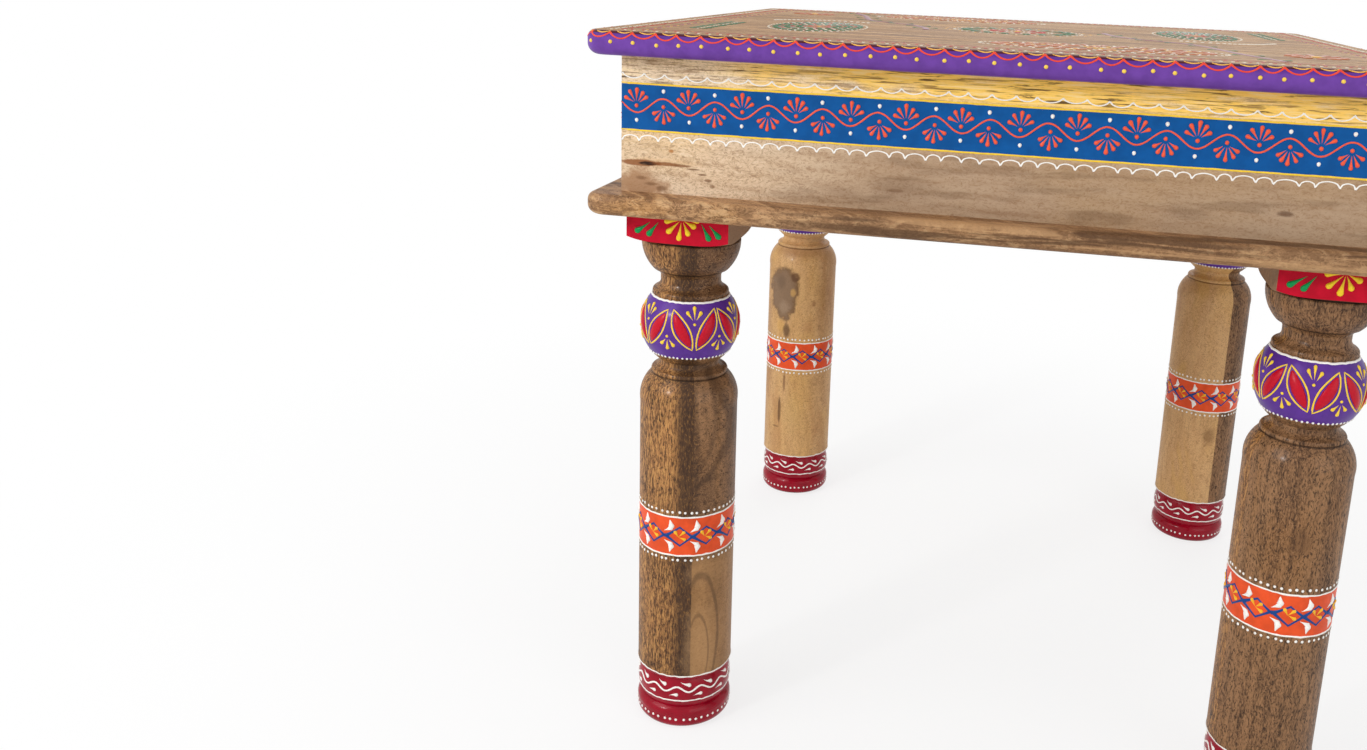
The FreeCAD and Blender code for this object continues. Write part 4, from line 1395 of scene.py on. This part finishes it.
# Lamps: place, size, power
LAMPS = {
    "key": ((-1.5, -1.3, 1.5), 1.4, 17),
    "glint": ((-1.2, -1.5, 1.1), 0.16, 8),
    "fill": ((1.6, -1.6, 1.0), 1.6, 9.5),
    "back": ((0.3, 1.8, 1.6), 1.6, 12),
}
SKY_LIGHT = 0.63
FLOOR_COLOUR = (0.88, 0.88, 0.88, 1)
FLOOR_REACH = 40


def make_camera():
    """Looks at the table from where the photo was taken."""
    forward = Vector((math.sin(CAMERA_YAW) * math.cos(CAMERA_PITCH),
                      math.cos(CAMERA_YAW) * math.cos(CAMERA_PITCH), -math.sin(CAMERA_PITCH)))
    level = Vector((math.cos(CAMERA_YAW), -math.sin(CAMERA_YAW), 0))
    upright = level.cross(forward)
    right = level * math.cos(CAMERA_ROLL) + upright * math.sin(CAMERA_ROLL)
    up = upright * math.cos(CAMERA_ROLL) - level * math.sin(CAMERA_ROLL)
    data = bpy.data.cameras.new("camera")
    data.sensor_width = 36
    data.lens = FOCUS_PIXELS / PHOTO_WIDTH * data.sensor_width
    data.shift_x = (PHOTO_WIDTH / 2 - AIM_PIXEL[0]) / PHOTO_WIDTH
    data.shift_y = (AIM_PIXEL[1] - PHOTO_HEIGHT / 2) / PHOTO_WIDTH
    data.clip_start = 0.01
    data.clip_end = 200
    camera = bpy.data.objects.new("camera", data)
    turn = Matrix((right, up, -forward)).transposed().to_4x4()
    camera.matrix_world = Matrix.Translation(CAMERA_PLACE) @ turn
    bpy.context.scene.collection.objects.link(camera)
    bpy.context.scene.camera = camera


def make_lamp(name, place, size, power):
    """A soft square lamp that looks at the middle of the table."""
    data = bpy.data.lights.new(name, "AREA")
    data.size = size
    data.energy = power
    lamp = bpy.data.objects.new(name, data)
    lamp.location = place
    aim = TABLE_MIDDLE - Vector(place)
    lamp.rotation_euler = aim.to_track_quat("-Z", "Y").to_euler()
    bpy.context.scene.collection.objects.link(lamp)


def looked_at(tree):
    """1 for what the camera sees, also mirrored or through glass, and 0 for light on the table."""
    path = tree.node("ShaderNodeLightPath")
    seen = path + path.other("Is Glossy Ray") + path.other("Is Transmission Ray")
    return tree.math("MINIMUM", seen, 1.0)


def make_floor():
    """A pale floor that keeps shadows near the table and turns plain white further out."""
    mesh = bpy.data.meshes.new("floor")
    corners = [(x * FLOOR_REACH, y * FLOOR_REACH, 0) for x, y in ((-1, -1), (1, -1), (1, 1), (-1, 1))]
    mesh.from_pydata(corners, [], [(0, 1, 2, 3)])
    floor = bpy.data.objects.new("floor", mesh)
    bpy.context.scene.collection.objects.link(floor)
    material, tree = new_material("pale_floor")
    spot = tree.spot()
    distance = tree.node("ShaderNodeVectorMath", {"operation": "LENGTH"}, {0: spot}).other("Value")
    ground = tree.node("ShaderNodeBsdfDiffuse", None, {"Color": FLOOR_COLOUR})
    glow = tree.node("ShaderNodeEmission", None, {"Color": (1, 1, 1, 1), "Strength": 1.0})
    share = looked_at(tree) * tree.rise(distance, 0.3, 0.9, 0.77, 1.0)
    mixed = tree.node("ShaderNodeMixShader", None, {0: share, 1: ground, 2: glow})
    tree.node("ShaderNodeOutputMaterial", None, {"Surface": mixed})
    mesh.materials.append(material)


def make_world():
    """A white room, with softer light on the table than the camera sees."""
    world = bpy.data.worlds.new("studio")
    bpy.context.scene.world = world
    world.use_nodes = True
    tree = Tree(world.node_tree)
    tree.group.nodes.clear()
    soft = tree.node("ShaderNodeBackground", None, {"Color": (1, 1, 1, 1), "Strength": SKY_LIGHT})
    bright = tree.node("ShaderNodeBackground", None, {"Color": (1, 1, 1, 1), "Strength": 1.0})
    mixed = tree.node("ShaderNodeMixShader", None, {0: looked_at(tree), 1: soft, 2: bright})
    tree.node("ShaderNodeOutputWorld", None, {"Surface": mixed})


def main():
    dress_top()
    dress_apron()
    dress_rails()
    dress_legs()
    dress_inner()
    dress_metal()
    paint_band()
    paint_rim()
    paint_heads()
    paint_balls()
    paint_rings()
    paint_feet()
    paint_top()
    clear_carriers()
    make_camera()
    make_world()
    for name, (place, size, power) in LAMPS.items():
        make_lamp(name, place, size, power)
    make_floor()
    bpy.context.scene.view_settings.view_transform = "Standard"


main()
